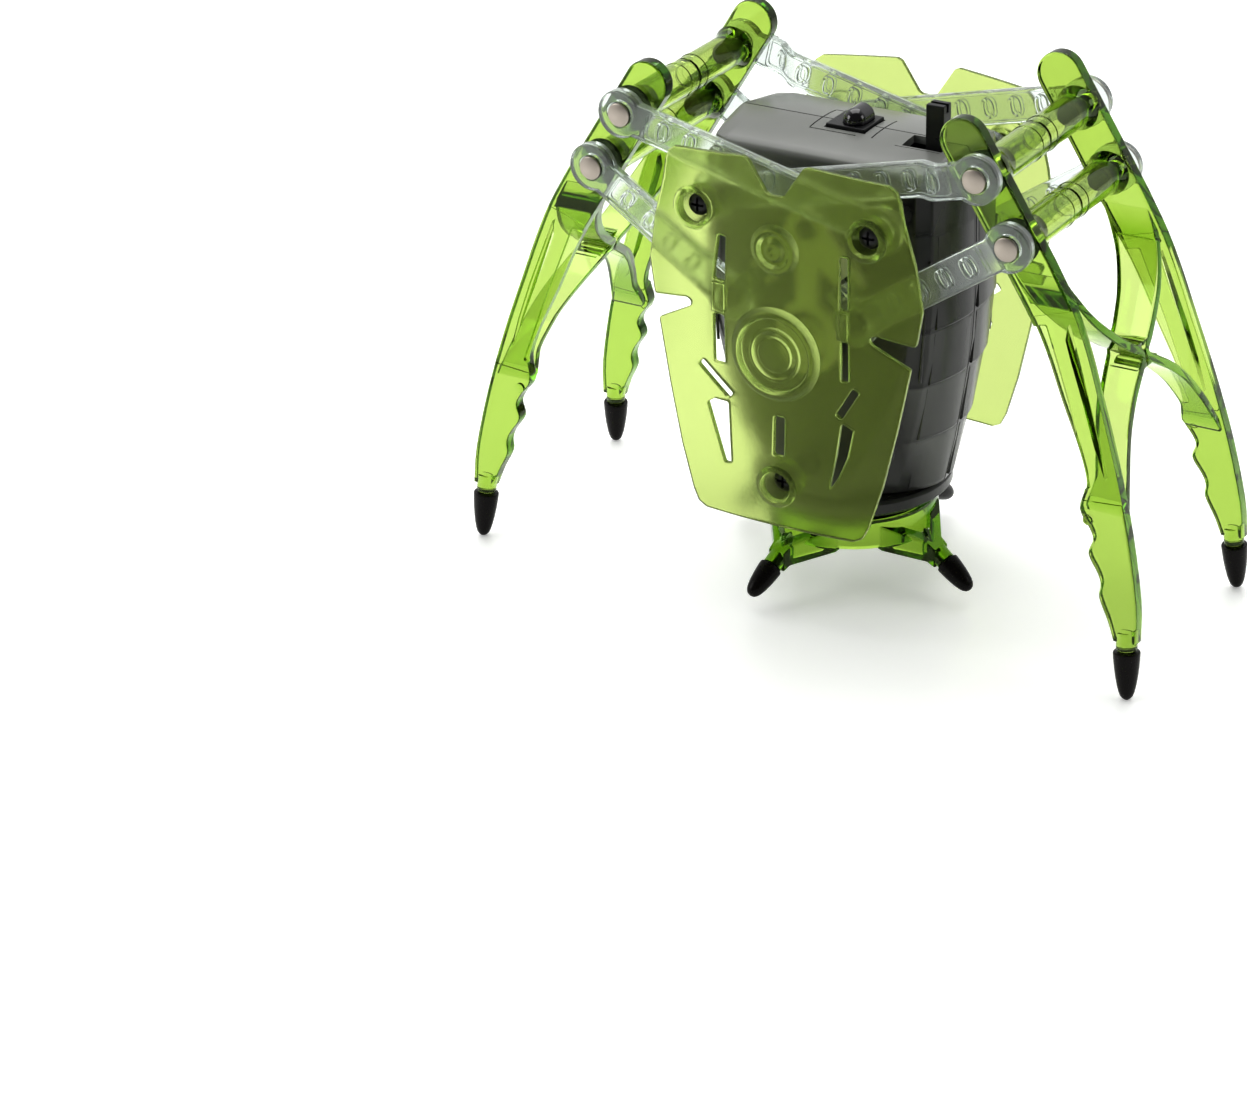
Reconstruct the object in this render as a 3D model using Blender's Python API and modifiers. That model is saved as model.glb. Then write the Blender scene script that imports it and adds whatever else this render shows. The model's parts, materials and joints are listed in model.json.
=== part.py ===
"""Spider robot: a smoke-grey body on a turning foot, carried by two four-bar leg units.

Metres, +Z up, X across the robot, Y from its front (-Y) to its back. The origin is on the
floor under the middle of the body. Every length below is in millimetres and becomes metres
when its mesh is made.
"""

import math

import bmesh
import bpy
from mathutils import Matrix, Vector

MM = 0.001
GAP = 0.3  # clearance between pieces that touch
OBJECT_NAME = "spider_robot"

# Four-bar leg linkage, as (x, z) on the right-hand side.
SCREW_POST = (17.5, 80.4)  # upper link's body pivot, on the far side
LINK_PEG = (13.0, 61.8)  # lower link's body pivot
PIN_UPPER = (36.2, 93.3)
PIN_LOWER = (42.7, 81.8)
FOOT_TIP = (69.55, 25.3)  # x and |y| of the point a leg stands on
ROCKER_PIVOT = (0.0, 75.8)
CRANK_AXIS = (0.0, 55.4)
LOWER_POST = (0.0, 28.7)
CRANK_THROW = 1.457
TAIL_LENGTH = 6.0  # from the peg to the tail pin that the rocker pushes

# Layers, as |y| from the middle of the robot.
HALF_SEAM = 0.15
ROCKER_LAYER = (16.4, 18.4)
INNER_LINK_LAYER = (18.8, 21.2)
LINK_LAYER = (21.6, 24.0)
LEG_LAYER = (18.1, 21.1)
POST_END = 24.3
PLATE_FACE = 30.4
PLATE_THICKNESS = 1.2
PLATE_SWEEP = 3.0  # how far the plate's sides lie behind its middle
PLATE_HALF_WIDTH = 28.2

# Legs.
BAR_TOP = (32.2, 98.9)
BAR_RADIUS = 4.4
BAR_LEAN = math.radians(32.0)
SPLAY_START = 67.0
SPLAY_MIDDLE = 19.6
WEB_THICKNESS = 1.8
TUBE_RADIUS = 3.4
PIN_RADIUS = 2.3
PIN_INNER_END = 12.9
TIP_TOP = 9.3  # height where a leg's rubber tip starts
NECK_RADIUS = 1.3
TREAD_HEIGHT = 0.4  # a leg tip is flattened below this, where it stands

# Links.
LINK_HALF_WIDTH = 3.25
EYE_RADIUS = 4.6
POST_RADIUS = 2.3
PEG_RADIUS = 1.9
PEG_PLAY = 0.55  # clearance of a lower link's eye, which takes up the linkage's error
JOGGLE = (23.5, 28.5)  # x where a crossing link steps out to the outer layer
TAIL_PIN_RADIUS = 1.0

# Body.
WALL = 1.5
BODY_BOTTOM = 21.8
CAP_BOTTOM = 18.2
CAP_RADIUS = 19.3
SCREW_SHANK = 0.9
SCREW_HEAD = 2.2
BEZEL_LOW = (-4.1, -3.8)  # the receiver's square base
BEZEL_HIGH = (3.9, 4.2)
BEZEL_TOP = 90.7
LENS = (0.6, 91.2)  # (x, z) of the axis of the receiver's bullet-shaped lens, which lies along Y
LENS_RADIUS = 2.3
LENS_SPAN = (-0.9, 2.6)  # y of its dome's centre and of its flat end
STEM = (1.0, -1.2, 1.8)  # half width and y range of the lens's foot
SWITCH_X = (16.6, 20.2)
SWITCH_Y = (-4.1, -1.0)
SWITCH_TOP = 97.9
SWITCH_TRAVEL = 3.6
GROOVE_Y = (-3.0, -2.1)  # between the lever's two prongs
BEYOND = 110.0  # past every surface of the robot, for tools that cut right through

# Cover plates.
RING_SMALL = 4.9
RING_LARGE = 9.2
RING_RISE = 1.0
CUP_RADIUS = 3.6
CUP_INNER = 2.7
CUP_FLOOR = 24.6  # |y| of the end of a screw well

# Crank, rocker and gears.
SHAFT_RADIUS = 1.5
ECCENTRIC_RADIUS = 4.0
ROCKER_HUB = 4.2
SLOT_HALF_LENGTH = 0.9
GEAR_MODULE = 0.5
CRANK_TEETH = 24
PINION_TEETH = 8
TURN_TEETH = 24
MESH_SPACE = 0.85  # added to the gears' centre distance, so their teeth stand clear
CRANK_GEAR_LAYER = (-3.2, -1.2)
WALK_PINION_LAYER = (-3.4, -1.0)
TURN_GEAR_LAYER = (22.6, 24.6)
TURN_PINION_LAYER = (22.4, 25.4)
MOTOR_RADIUS = 5.0
WALK_MOTOR_LENGTH = 10.5
TURN_MOTOR_LENGTH = 12.0

# Turning foot.
HUB_RADIUS = 16.5
HUB_BOTTOM = 10.0
HUB_TOP = 17.6
HUB_WALL = 2.6
SPINDLE_RADIUS = 3.0
SPINDLE_TOP = 27.6
TOE_TURN = 77.0  # degrees from +X to the first toe
TOE_ROOT = 13.0
TOE_REACH = 22.2
COLLAR_HEIGHT = 8.4
TIP_SLOPE = math.radians(33.0)

# Electrics.
BOARD = ((-19.0, -9.5, 80.6), (19.5, 9.5, 82.0))
CELL_RADIUS = 5.8
CELL_X = -12.8
CELL_DEPTH = (2.4, 7.8)
CELL_HEIGHTS = (73.4, 61.4, 49.4)
TRAY_X = (CELL_X - 6.0, CELL_X + 7.2)
TRAY_THICKNESS = 1.2

COLOURS = {
    "smoke": ((0.055, 0.058, 0.06), 0.22, 0.0),
    "lime": ((0.30, 0.62, 0.05), 0.08, 0.0),
    "plate": ((0.45, 0.68, 0.16), 0.35, 0.0),
    "frost": ((0.74, 0.80, 0.78), 0.4, 0.0),
    "pin_metal": ((0.60, 0.55, 0.52), 0.35, 1.0),
    "black": ((0.012, 0.012, 0.013), 0.3, 0.0),
    "rubber": ((0.014, 0.010, 0.009), 0.5, 0.0),
    "hub": ((0.52, 0.70, 0.14), 0.15, 0.0),
    "steel": ((0.55, 0.56, 0.57), 0.3, 1.0),
    "nylon": ((0.75, 0.74, 0.68), 0.45, 0.0),
    "board": ((0.03, 0.16, 0.07), 0.45, 0.0),
}


# ---------------------------------------------------------------- scene

for old in list(bpy.data.objects):
    bpy.data.objects.remove(old, do_unlink=True)

parts = bpy.data.collections.new(OBJECT_NAME)
bpy.context.scene.collection.children.link(parts)
cutters = bpy.data.collections.new("cutters")
bpy.context.scene.collection.children.link(cutters)


def make_material(name):
    colour, roughness, metallic = COLOURS[name]
    made = bpy.data.materials.new(name)
    made.use_nodes = True
    shader = made.node_tree.nodes["Principled BSDF"]
    shader.inputs["Base Color"].default_value = (*colour, 1.0)
    shader.inputs["Roughness"].default_value = roughness
    shader.inputs["Metallic"].default_value = metallic
    return made


materials = {name: make_material(name) for name in COLOURS}


# ---------------------------------------------------------------- tools


def metres(point):
    return Vector(point) * MM


def from_bmesh(name, bm):
    """An object in the parts collection from a bmesh in metres, closed and facing outwards."""
    bmesh.ops.remove_doubles(bm, verts=bm.verts[:], dist=1e-6)
    bmesh.ops.recalc_face_normals(bm, faces=bm.faces[:])
    mesh = bpy.data.meshes.new(name)
    bm.to_mesh(mesh)
    bm.free()
    obj = bpy.data.objects.new(name, mesh)
    parts.objects.link(obj)
    return obj


def baked(source, name):
    """A plain mesh object from the evaluated source, which is removed."""
    bpy.context.view_layer.update()
    evaluated = source.evaluated_get(bpy.context.evaluated_depsgraph_get())
    mesh = bpy.data.meshes.new_from_object(evaluated)
    mesh.transform(source.matrix_world)
    bpy.data.objects.remove(source, do_unlink=True)
    bm = bmesh.new()
    bm.from_mesh(mesh)
    bpy.data.meshes.remove(mesh)
    return from_bmesh(name, bm)


def box(name, low, high):
    bm = bmesh.new()
    bmesh.ops.create_cube(bm, size=1.0)
    middle = (metres(low) + metres(high)) / 2
    size = metres(high) - metres(low)
    bmesh.ops.scale(bm, vec=size, verts=bm.verts[:])
    bmesh.ops.translate(bm, vec=middle, verts=bm.verts[:])
    return from_bmesh(name, bm)


def rod(name, radius, start, end, sides=20, end_radius=None):
    """A cylinder, or a cone with end_radius, between two points."""
    a = metres(start)
    b = metres(end)
    bm = bmesh.new()
    bmesh.ops.create_cone(
        bm, cap_ends=True, segments=sides, depth=(b - a).length,
        radius1=radius * MM, radius2=(radius if end_radius is None else end_radius) * MM,
    )
    turn = (b - a).to_track_quat("Z", "Y").to_matrix().to_4x4()
    bm.transform(Matrix.Translation((a + b) / 2) @ turn)
    return from_bmesh(name, bm)


def across(name, radius, xz, near, far, sides=20):
    """A cylinder along Y at (x, z)."""
    return rod(name, radius, (xz[0], near, xz[1]), (xz[0], far, xz[1]), sides)


def turned(name, profile, base, direction, steps=24):
    """A profile of (radius, height) points turned about an axis from base along direction."""
    mesh = bpy.data.meshes.new(name)
    points = [(r * MM, 0.0, h * MM) for r, h in profile]
    count = len(points)
    loop = profile[0][0] > 0
    edges = [(i, i + 1) for i in range(count - 1)]
    if loop:
        edges.append((count - 1, 0))
    mesh.from_pydata(points, edges, [])
    obj = bpy.data.objects.new(name, mesh)
    parts.objects.link(obj)
    screw = obj.modifiers.new("turn", "SCREW")
    screw.steps = steps
    screw.render_steps = steps
    screw.use_merge_vertices = True
    screw.merge_threshold = 1e-5
    turn = Vector(direction).to_track_quat("Z", "Y").to_matrix().to_4x4()
    obj.matrix_world = Matrix.Translation(metres(base)) @ turn
    return baked(obj, name)


def flat(name, loops, near, far):
    """Closed outlines of (x, z) points, holes among them, made thick along Y."""
    curve = bpy.data.curves.new(name, "CURVE")
    curve.dimensions = "2D"
    curve.fill_mode = "BOTH"
    curve.extrude = abs(far - near) / 2 * MM
    for loop in loops:
        spline = curve.splines.new("POLY")
        spline.points.add(len(loop) - 1)
        for point, (x, z) in zip(spline.points, loop):
            point.co = (x * MM, z * MM, 0.0, 1.0)
        spline.use_cyclic_u = True
    obj = bpy.data.objects.new(name, curve)
    parts.objects.link(obj)
    middle = (near + far) / 2 * MM
    obj.matrix_world = Matrix.Translation((0, middle, 0)) @ Matrix.Rotation(math.pi / 2, 4, "X")
    return baked(obj, name)


def loft(name, rings, capped=True):
    """A skin through rings of the same number of points, with flat ends."""
    bm = bmesh.new()
    made = [[bm.verts.new(metres(point)) for point in ring] for ring in rings]
    count = len(rings[0])
    for low, high in zip(made, made[1:]):
        for i in range(count):
            j = (i + 1) % count
            bm.faces.new((low[i], low[j], high[j], high[i]))
    if capped:
        bm.faces.new(made[0])
        bm.faces.new(made[-1])
    return from_bmesh(name, bm)


def boolean(target, tool, operation):
    modifier = target.modifiers.new(f"{operation.lower()}_{tool.name}", "BOOLEAN")
    modifier.operation = operation
    modifier.solver = "EXACT"
    modifier.object = tool
    tool.hide_render = True
    tool.display_type = "WIRE"
    parts.objects.unlink(tool)
    cutters.objects.link(tool)


def join(target, *tools):
    for tool in tools:
        boolean(target, tool, "UNION")


def cut(target, *tools):
    for tool in tools:
        boolean(target, tool, "DIFFERENCE")


def finish(obj, material):
    obj.data.materials.clear()
    obj.data.materials.append(materials[material])
    obj.data.shade_smooth()
    obj.data.set_sharp_from_angle(angle=math.radians(35))
    return obj


def pivot(name, point):
    """An empty on a joint's axis, for the pieces that turn or slide there."""
    empty = bpy.data.objects.new(name, None)
    empty.empty_display_size = 0.004
    empty.location = metres(point)
    parts.objects.link(empty)
    return empty


def ride(empty, *pieces):
    """Parents pieces to an empty and leaves them where they are."""
    bpy.context.view_layer.update()
    for piece in pieces:
        piece.parent = empty
        piece.matrix_parent_inverse = empty.matrix_world.inverted()


def smooth_path(points, steps):
    """Points along a Catmull-Rom curve through the given points."""
    first = tuple(2 * a - b for a, b in zip(points[0], points[1]))
    last = tuple(2 * a - b for a, b in zip(points[-1], points[-2]))
    padded = [first, *points, last]
    out = []
    for a, b, c, d in zip(padded, padded[1:], padded[2:], padded[3:]):
        for step in range(steps):
            t = step / steps
            out.append(tuple(
                0.5 * (2 * q + (r - p) * t + (2 * p - 5 * q + 4 * r - s) * t**2
                       + (3 * q - p - 3 * r + s) * t**3)
                for p, q, r, s in zip(a, b, c, d)
            ))
    out.append(tuple(points[-1]))
    return out


def arc(centre, radius, start, end, steps):
    """Points on an arc, with its angles in degrees."""
    out = []
    for step in range(steps + 1):
        angle = math.radians(start + (end - start) * step / steps)
        out.append((centre[0] + radius * math.cos(angle), centre[1] + radius * math.sin(angle)))
    return out


def mirrored(loop, side):
    return [(side * x, z) for x, z in loop]


def toward(a, b):
    """Unit vector and length from a to b in the XZ plane."""
    length = math.hypot(b[0] - a[0], b[1] - a[1])
    return ((b[0] - a[0]) / length, (b[1] - a[1]) / length), length


def interpolate(table, z):
    """Value at z from (value, z) pairs listed from the top down."""
    for (a, za), (b, zb) in zip(table, table[1:]):
        if z >= zb:
            share = (za - z) / (za - zb)
            return a + (b - a) * max(0.0, share)
    return table[-1][0]


# ---------------------------------------------------------------- body shell

# Half width, half depth and squareness of the shell at each height.
SHELL_LEVELS = (
    (BODY_BOTTOM, 19.6, 18.4, 2.1),
    (31.0, 21.5, 17.4, 2.5),
    (42.0, 23.0, 16.4, 3.0),
    (52.0, 24.4, 15.8, 3.6),
    (61.0, 25.0, 15.6, 4.0),
    (75.0, 24.9, 15.4, 4.2),
    (85.0, 24.6, 14.6, 4.2),
)
TOP_LEVELS = ((87.6, 0.985), (88.5, 0.92), (89.5, 0.66), (90.2, 0.30))
SHELL_POINTS = 24


def shell_ring(width, depth, squareness, z):
    ring = []
    for i in range(SHELL_POINTS):
        angle = 2 * math.pi * (i + 0.5) / SHELL_POINTS
        c = math.cos(angle)
        s = math.sin(angle)
        x = math.copysign(abs(c) ** (2 / squareness), c) * width
        y = math.copysign(abs(s) ** (2 / squareness), s) * depth
        ring.append((x, y, z))
    return ring


def shell_solid(name, inset):
    rings = []
    floor = BODY_BOTTOM - (2.0 if inset else 0.0)
    levels = ((floor, *SHELL_LEVELS[0][1:]), *SHELL_LEVELS[1:])
    for z, width, depth, squareness in levels:
        rings.append(shell_ring(width - inset, depth - inset, squareness, z))
    width, depth, squareness = SHELL_LEVELS[-1][1:]
    for z, share in TOP_LEVELS:
        rings.append(shell_ring((width - inset) * share, (depth - inset) * share, squareness,
                                z - inset))
    return loft(name, rings)


def shell_depth(z):
    """Half depth of the shell at a height."""
    return interpolate([(depth, level) for level, _, depth, _ in reversed(SHELL_LEVELS)], z)


def shell_post(name, xz, face, end, radius=POST_RADIUS):
    start = shell_depth(xz[1]) - WALL / 2
    return across(name, radius, xz, face * start, face * end, 16)


def body_half(name, face):
    shell = shell_solid(name, 0.0)
    cut(shell, shell_solid(f"{name}_hollow", WALL))
    y_low, y_high = sorted((face * HALF_SEAM, -face * BEYOND))
    cut(shell, box(f"{name}_split", (-BEYOND, y_low, 0), (BEYOND, y_high, BEYOND)))
    left = (-SCREW_POST[0], SCREW_POST[1])
    for label, xz in (("left", left), ("right", SCREW_POST), ("lower", LOWER_POST)):
        join(shell, shell_post(f"{name}_{label}_post", xz, face, POST_END))
    for label, xz in (("left", (-LINK_PEG[0], LINK_PEG[1])), ("right", LINK_PEG)):
        join(shell, shell_post(f"{name}_{label}_peg", xz, face, POST_END, PEG_RADIUS))
    join(shell, shell_post(f"{name}_rocker_post", ROCKER_PIVOT, face, ROCKER_LAYER[1] + 0.6,
                           PEG_RADIUS))
    for label, xz in (("left", left), ("right", SCREW_POST), ("lower", LOWER_POST)):
        cut(shell, across(f"{name}_{label}_screw_hole", SCREW_SHANK + GAP, xz, face * 17.5,
                          face * (POST_END + 2), 12))
    cut(shell, across(f"{name}_shaft_hole", SHAFT_RADIUS + 0.4, CRANK_AXIS, face * 10.0,
                      face * 20.0, 16))
    cut(shell, box(f"{name}_eye_hole", (BEZEL_LOW[0] - GAP, BEZEL_LOW[1] - GAP, 86.0),
                   (BEZEL_HIGH[0] + GAP, BEZEL_HIGH[1] + GAP, 95.0)))
    if face < 0:
        cut(shell, box("switch_slot",
                       (SWITCH_X[0] - SWITCH_TRAVEL - 0.4, SWITCH_Y[0] - 0.4, 84.0),
                       (SWITCH_X[1] + 0.4, SWITCH_Y[1] + 0.4, 95.0)))  # the lever's travel
    return finish(shell, "smoke")


housing_front = body_half("housing_front", -1)
housing_back = body_half("housing_back", 1)

base_cap = turned("base_cap", [
    (SPINDLE_RADIUS + 0.5, CAP_BOTTOM + 0.6), (SPINDLE_RADIUS + 0.5, CAP_BOTTOM + 3.2),
    (CAP_RADIUS - 0.6, CAP_BOTTOM + 3.2), (CAP_RADIUS, CAP_BOTTOM + 2.6),
    (CAP_RADIUS, CAP_BOTTOM + 1.0), (CAP_RADIUS - 1.0, CAP_BOTTOM),
    (CAP_RADIUS - 3.0, CAP_BOTTOM), (CAP_RADIUS - 3.4, CAP_BOTTOM + 0.6),
], (0, 0, 0), (0, 0, 1), 24)
finish(base_cap, "smoke")


def bullet(name, play):
    """The lens: a round bar that lies along Y with a dome at its front end."""
    radius = LENS_RADIUS + play
    length = LENS_SPAN[1] - LENS_SPAN[0] + play
    profile = [(0, 0), (radius, 0), (radius, length)]
    for step in range(1, 6):
        angle = math.radians(90 * step / 6)
        profile.append((radius * math.cos(angle), length + radius * math.sin(angle)))
    profile.append((0, length + radius))
    return turned(name, profile, (LENS[0], LENS_SPAN[1] + play, LENS[1]), (0, -1, 0), 20)


receiver_bezel = box("receiver_bezel", (*BEZEL_LOW, 87.4), (*BEZEL_HIGH, BEZEL_TOP))
cut(receiver_bezel, bullet("bezel_cradle", GAP))
cut(receiver_bezel, box("bezel_hole", (LENS[0] - STEM[0] - GAP, STEM[1] - GAP, 86),
                        (LENS[0] + STEM[0] + GAP, STEM[2] + GAP, 90)))
finish(receiver_bezel, "black")

receiver_dome = bullet("receiver_dome", 0.0)
join(receiver_dome, box("lens_foot", (LENS[0] - STEM[0], STEM[1], 85.0),
                        (LENS[0] + STEM[0], STEM[2], LENS[1] - 1)))
finish(receiver_dome, "black")

power_switch = box("power_switch", (SWITCH_X[0], SWITCH_Y[0], 88.6),
                   (SWITCH_X[1], SWITCH_Y[1], SWITCH_TOP))
cut(power_switch, box("switch_groove", (SWITCH_X[0] - 1, GROOVE_Y[0], SWITCH_TOP - 1.6),
                      (SWITCH_X[1] + 1, GROOVE_Y[1], SWITCH_TOP + 1)))
join(power_switch, box("switch_foot", (SWITCH_X[0] + 0.6, SWITCH_Y[0] + 0.6, 83.2),
                       (SWITCH_X[1] - 0.6, SWITCH_Y[1] - 0.6, 89.4)))
finish(power_switch, "black")


# ---------------------------------------------------------------- cover plates

PLATE_RIGHT_EDGE = (
    (1.2, 86.2), (1.9, 86.6), (5.6, 92.2), (6.6, 92.6), (21.8, 91.3), (23.2, 90.3), (24.0, 88.4),
    (24.7, 84.2), (26.8, 76.7), (28.2, 68.0), (27.1, 61.1), (19.5, 62.3), (18.6, 61.9),
    (18.5, 61.1), (19.1, 60.5), (26.2, 56.6), (23.8, 44.0), (21.2, 32.4), (18.6, 23.8),
    (17.4, 21.4), (15.6, 20.5),
)


def slot(a, b, width_a, width_b=None):
    """A four-sided slot between two points, with a width at each end."""
    (ux, uz), _ = toward(a, b)
    wa = width_a / 2
    wb = (width_b or width_a) / 2
    return [(a[0] - uz * wa, a[1] + ux * wa), (b[0] - uz * wb, b[1] + ux * wb),
            (b[0] + uz * wb, b[1] - ux * wb), (a[0] + uz * wa, a[1] - ux * wa)]


PLATE_SLOTS = (
    slot((-13.5, 76.6), (-13.5, 66.4), 1.6),
    slot((-13.7, 60.2), (-13.8, 52.4), 1.5),
    slot((-16.0, 51.0), (-12.6, 45.2), 1.5),
    [(-15.5, 43.0), (-13.2, 44.1), (-12.2, 37.0), (-10.7, 29.8), (-12.6, 33.0), (-14.4, 37.4)],
    slot((11.3, 76.3), (12.1, 67.4), 1.6, 2.5),
    slot((12.2, 60.7), (12.1, 51.0), 2.4),
    slot((9.7, 44.9), (16.4, 50.3), 1.6),
    slot((-0.7, 43.0), (-0.5, 35.0), 2.2),
    [(10.3, 43.5), (13.4, 43.5), (15.0, 42.4), (11.2, 31.0), (9.8, 31.2)],
)


def plate_front(x):
    """|y| of the plate's outer face at x."""
    return PLATE_FACE - PLATE_SWEEP * (x / PLATE_HALF_WIDTH) ** 2


def cover_plate(name, face):
    columns = 10
    reach = PLATE_HALF_WIDTH + 2
    xs = [-reach + 2 * reach * i / columns for i in range(columns + 1)]
    outer = [(x, face * plate_front(x)) for x in xs]
    inner = [(x, face * (plate_front(x) - PLATE_THICKNESS)) for x in reversed(xs)]
    rings = [[(x, y, z) for x, y in outer + inner] for z in (15.0, 97.0)]
    plate = loft(name, rings)
    turn = -face  # the back plate is the front one turned half round
    outline = list(PLATE_RIGHT_EDGE) + mirrored(reversed(PLATE_RIGHT_EDGE), -1)
    loops = [outline] + [mirrored(loop, turn) for loop in PLATE_SLOTS]
    blank = flat(f"{name}_outline", loops, face * 22.0, face * 34.0)
    boolean(plate, blank, "INTERSECT")
    bosses = ((-SCREW_POST[0], SCREW_POST[1]), SCREW_POST, LOWER_POST)
    for number, (x, z) in enumerate(bosses):
        top = plate_front(x) + 0.35
        join(plate, across(f"{name}_cup_{number}", CUP_RADIUS, (x, z), face * CUP_FLOOR,
                           face * top, 14))
    for number, (x, z) in enumerate(bosses):
        cut(plate, across(f"{name}_well_{number}", CUP_INNER, (x, z), face * (CUP_FLOOR + 1.0),
                          face * 34.0, 14))
        cut(plate, across(f"{name}_bore_{number}", SCREW_SHANK + GAP, (x, z), face * 23.0,
                          face * 27.0, 8))
    low = PLATE_FACE - PLATE_THICKNESS * 0.6
    for label, (x, z), ring, wide in (("small", ROCKER_PIVOT, RING_SMALL, 1.5),
                                      ("large", CRANK_AXIS, RING_LARGE, 2.0)):
        profile = [(ring - wide, low), (ring - wide, PLATE_FACE + RING_RISE),
                   (ring - wide * 0.4, PLATE_FACE + RING_RISE), (ring, PLATE_FACE), (ring, low)]
        join(plate, turned(f"{name}_{label}_ring", profile, (x, 0, z), (0, face, 0), 20))
    join(plate, turned(f"{name}_dome", [
        (0, PLATE_FACE + 1.0), (1.4, PLATE_FACE + 0.8), (2.6, PLATE_FACE), (2.6, low), (0, low),
    ], (ROCKER_PIVOT[0], 0, ROCKER_PIVOT[1]), (0, face, 0), 12))
    join(plate, across(f"{name}_disc", 3.4, CRANK_AXIS, face * low, face * (PLATE_FACE + 0.6), 16))
    return finish(plate, "plate")


front_plate = cover_plate("front_plate", -1)
back_plate = cover_plate("back_plate", 1)


def plate_screw(name, xz, face):
    head = CUP_FLOOR + 1.0 + GAP
    screw = turned(name, [
        (0, head + 1.9), (SCREW_HEAD, head + 1.9), (SCREW_HEAD, head), (SCREW_SHANK, head),
        (SCREW_SHANK, 18.0), (0, 18.0),
    ], (xz[0], 0, xz[1]), (0, face, 0), 10)
    return finish(screw, "black")


for face_name, face in (("front", -1), ("back", 1)):
    plate_screw(f"screw_{face_name}_left", (-SCREW_POST[0], SCREW_POST[1]), face)
    plate_screw(f"screw_{face_name}_right", SCREW_POST, face)
    plate_screw(f"screw_{face_name}_lower", LOWER_POST, face)


# ---------------------------------------------------------------- links

def link_outline(a, b):
    """A bar between two round eyes."""
    (ux, uz), length = toward(a, b)
    heading = math.degrees(math.atan2(uz, ux))
    flare = math.degrees(math.asin(LINK_HALF_WIDTH / EYE_RADIUS))
    around_b = arc(b, EYE_RADIUS, heading - 180 + flare, heading + 180 - flare, 9)
    around_a = arc(a, EYE_RADIUS, heading + flare, heading + 360 - flare, 9)
    return around_b + around_a


def link(name, outer_pin, inner_pin, face, eye_hole, crossing=False):
    near, far = LINK_LAYER
    bar = flat(name, [
        link_outline(inner_pin, outer_pin),
        arc(outer_pin, PIN_RADIUS + GAP, 0, 330, 11),
        arc(inner_pin, eye_hole, 0, 330, 11),
    ], face * near, face * far)
    if crossing:
        drop = LINK_LAYER[0] - INNER_LINK_LAYER[0]
        side = math.copysign(1, outer_pin[0])
        bm = bmesh.new()
        bm.from_mesh(bar.data)
        for edge in JOGGLE:
            bmesh.ops.bisect_plane(bm, geom=bm.verts[:] + bm.edges[:] + bm.faces[:], dist=1e-7,
                                   plane_co=(side * edge * MM, 0, 0), plane_no=(1, 0, 0))
        for vert in bm.verts:
            share = (side * vert.co.x / MM - JOGGLE[0]) / (JOGGLE[1] - JOGGLE[0])
            vert.co.y -= face * drop * MM * (1 - min(1.0, max(0.0, share)))
        bm.to_mesh(bar.data)
        bm.free()
    return bar


def tail_point(side):
    (ux, uz), _ = toward(LINK_PEG, ROCKER_PIVOT)
    return (side * (LINK_PEG[0] + ux * TAIL_LENGTH), LINK_PEG[1] + uz * TAIL_LENGTH)


def upper_link(side_name, side, face_name, face):
    pin = (side * PIN_UPPER[0], PIN_UPPER[1])
    post = (-side * SCREW_POST[0], SCREW_POST[1])
    crossing = side * face < 0
    bar = link(f"{side_name}_upper_link_{face_name}", pin, post, face, POST_RADIUS + GAP, crossing)
    return finish(bar, "frost")


def lower_link(side_name, side, face_name, face):
    pin = (side * PIN_LOWER[0], PIN_LOWER[1])
    peg = (side * LINK_PEG[0], LINK_PEG[1])
    name = f"{side_name}_lower_link_{face_name}"
    bar = link(name, pin, peg, face, PEG_RADIUS + PEG_PLAY)
    tail = tail_point(side)
    near, far = LINK_LAYER
    (ux, uz), _ = toward(peg, tail)
    start = (peg[0] + ux * 3.4, peg[1] + uz * 3.4)
    lug = flat(f"{name}_lug", [slot(start, (tail[0] + ux * 1.2, tail[1] + uz * 1.2), 3.6, 3.0)],
               face * (near + 0.1), face * (far - 0.1))
    join(bar, lug)
    join(bar, across(f"{name}_tail_pin", TAIL_PIN_RADIUS, tail, face * (ROCKER_LAYER[0] + 0.3),
                     face * (near + 1.0), 12))
    return finish(bar, "frost")


# ---------------------------------------------------------------- legs

LEG_INNER_EDGE = (
    (41.5, 75.8), (46.1, 68.5), (49.3, 62.5), (53.0, 54.0), (57.0, 45.5), (58.9, 39.6),
    (58.2, 35.0), (60.4, 31.6), (61.2, 29.6), (60.5, 26.8), (62.6, 23.4), (63.3, 21.4),
    (63.2, 18.9), (65.2, 14.8), (66.6, 11.2),
)
LEG_OUTER_EDGE = (
    (71.0, 11.4), (70.5, 19.0), (68.0, 31.0), (65.2, 41.0), (62.8, 48.5), (60.2, 56.0),
    (57.4, 64.0), (54.2, 71.5), (49.8, 79.3),
)
WEB_PATH = (
    (18.8, 76.0), (17.6, 72.6), (15.2, 68.6), (11.9, 64.9), (8.0, 61.6), (3.8, 58.6), (1.25, 57.1),
    (1.25, 55.5), (3.8, 53.8), (8.4, 50.9), (12.7, 47.2), (16.0, 43.0), (18.7, 38.6), (21.0, 34.4),
)


def leg_outline():
    degrees = math.degrees(BAR_LEAN)
    cap = arc(BAR_TOP, BAR_RADIUS, degrees, 180 + degrees, 8)
    inner = smooth_path(LEG_INNER_EDGE, 2)
    outer = smooth_path(LEG_OUTER_EDGE, 1)
    return cap + inner + outer


def splayed(offset, z):
    """|y| at height z of a point that stands off a leg's mid plane, which splays below a bend."""
    drop = max(0.0, SPLAY_START - z) / SPLAY_START
    return SPLAY_MIDDLE + drop * (FOOT_TIP[1] - SPLAY_MIDDLE) + offset


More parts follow.
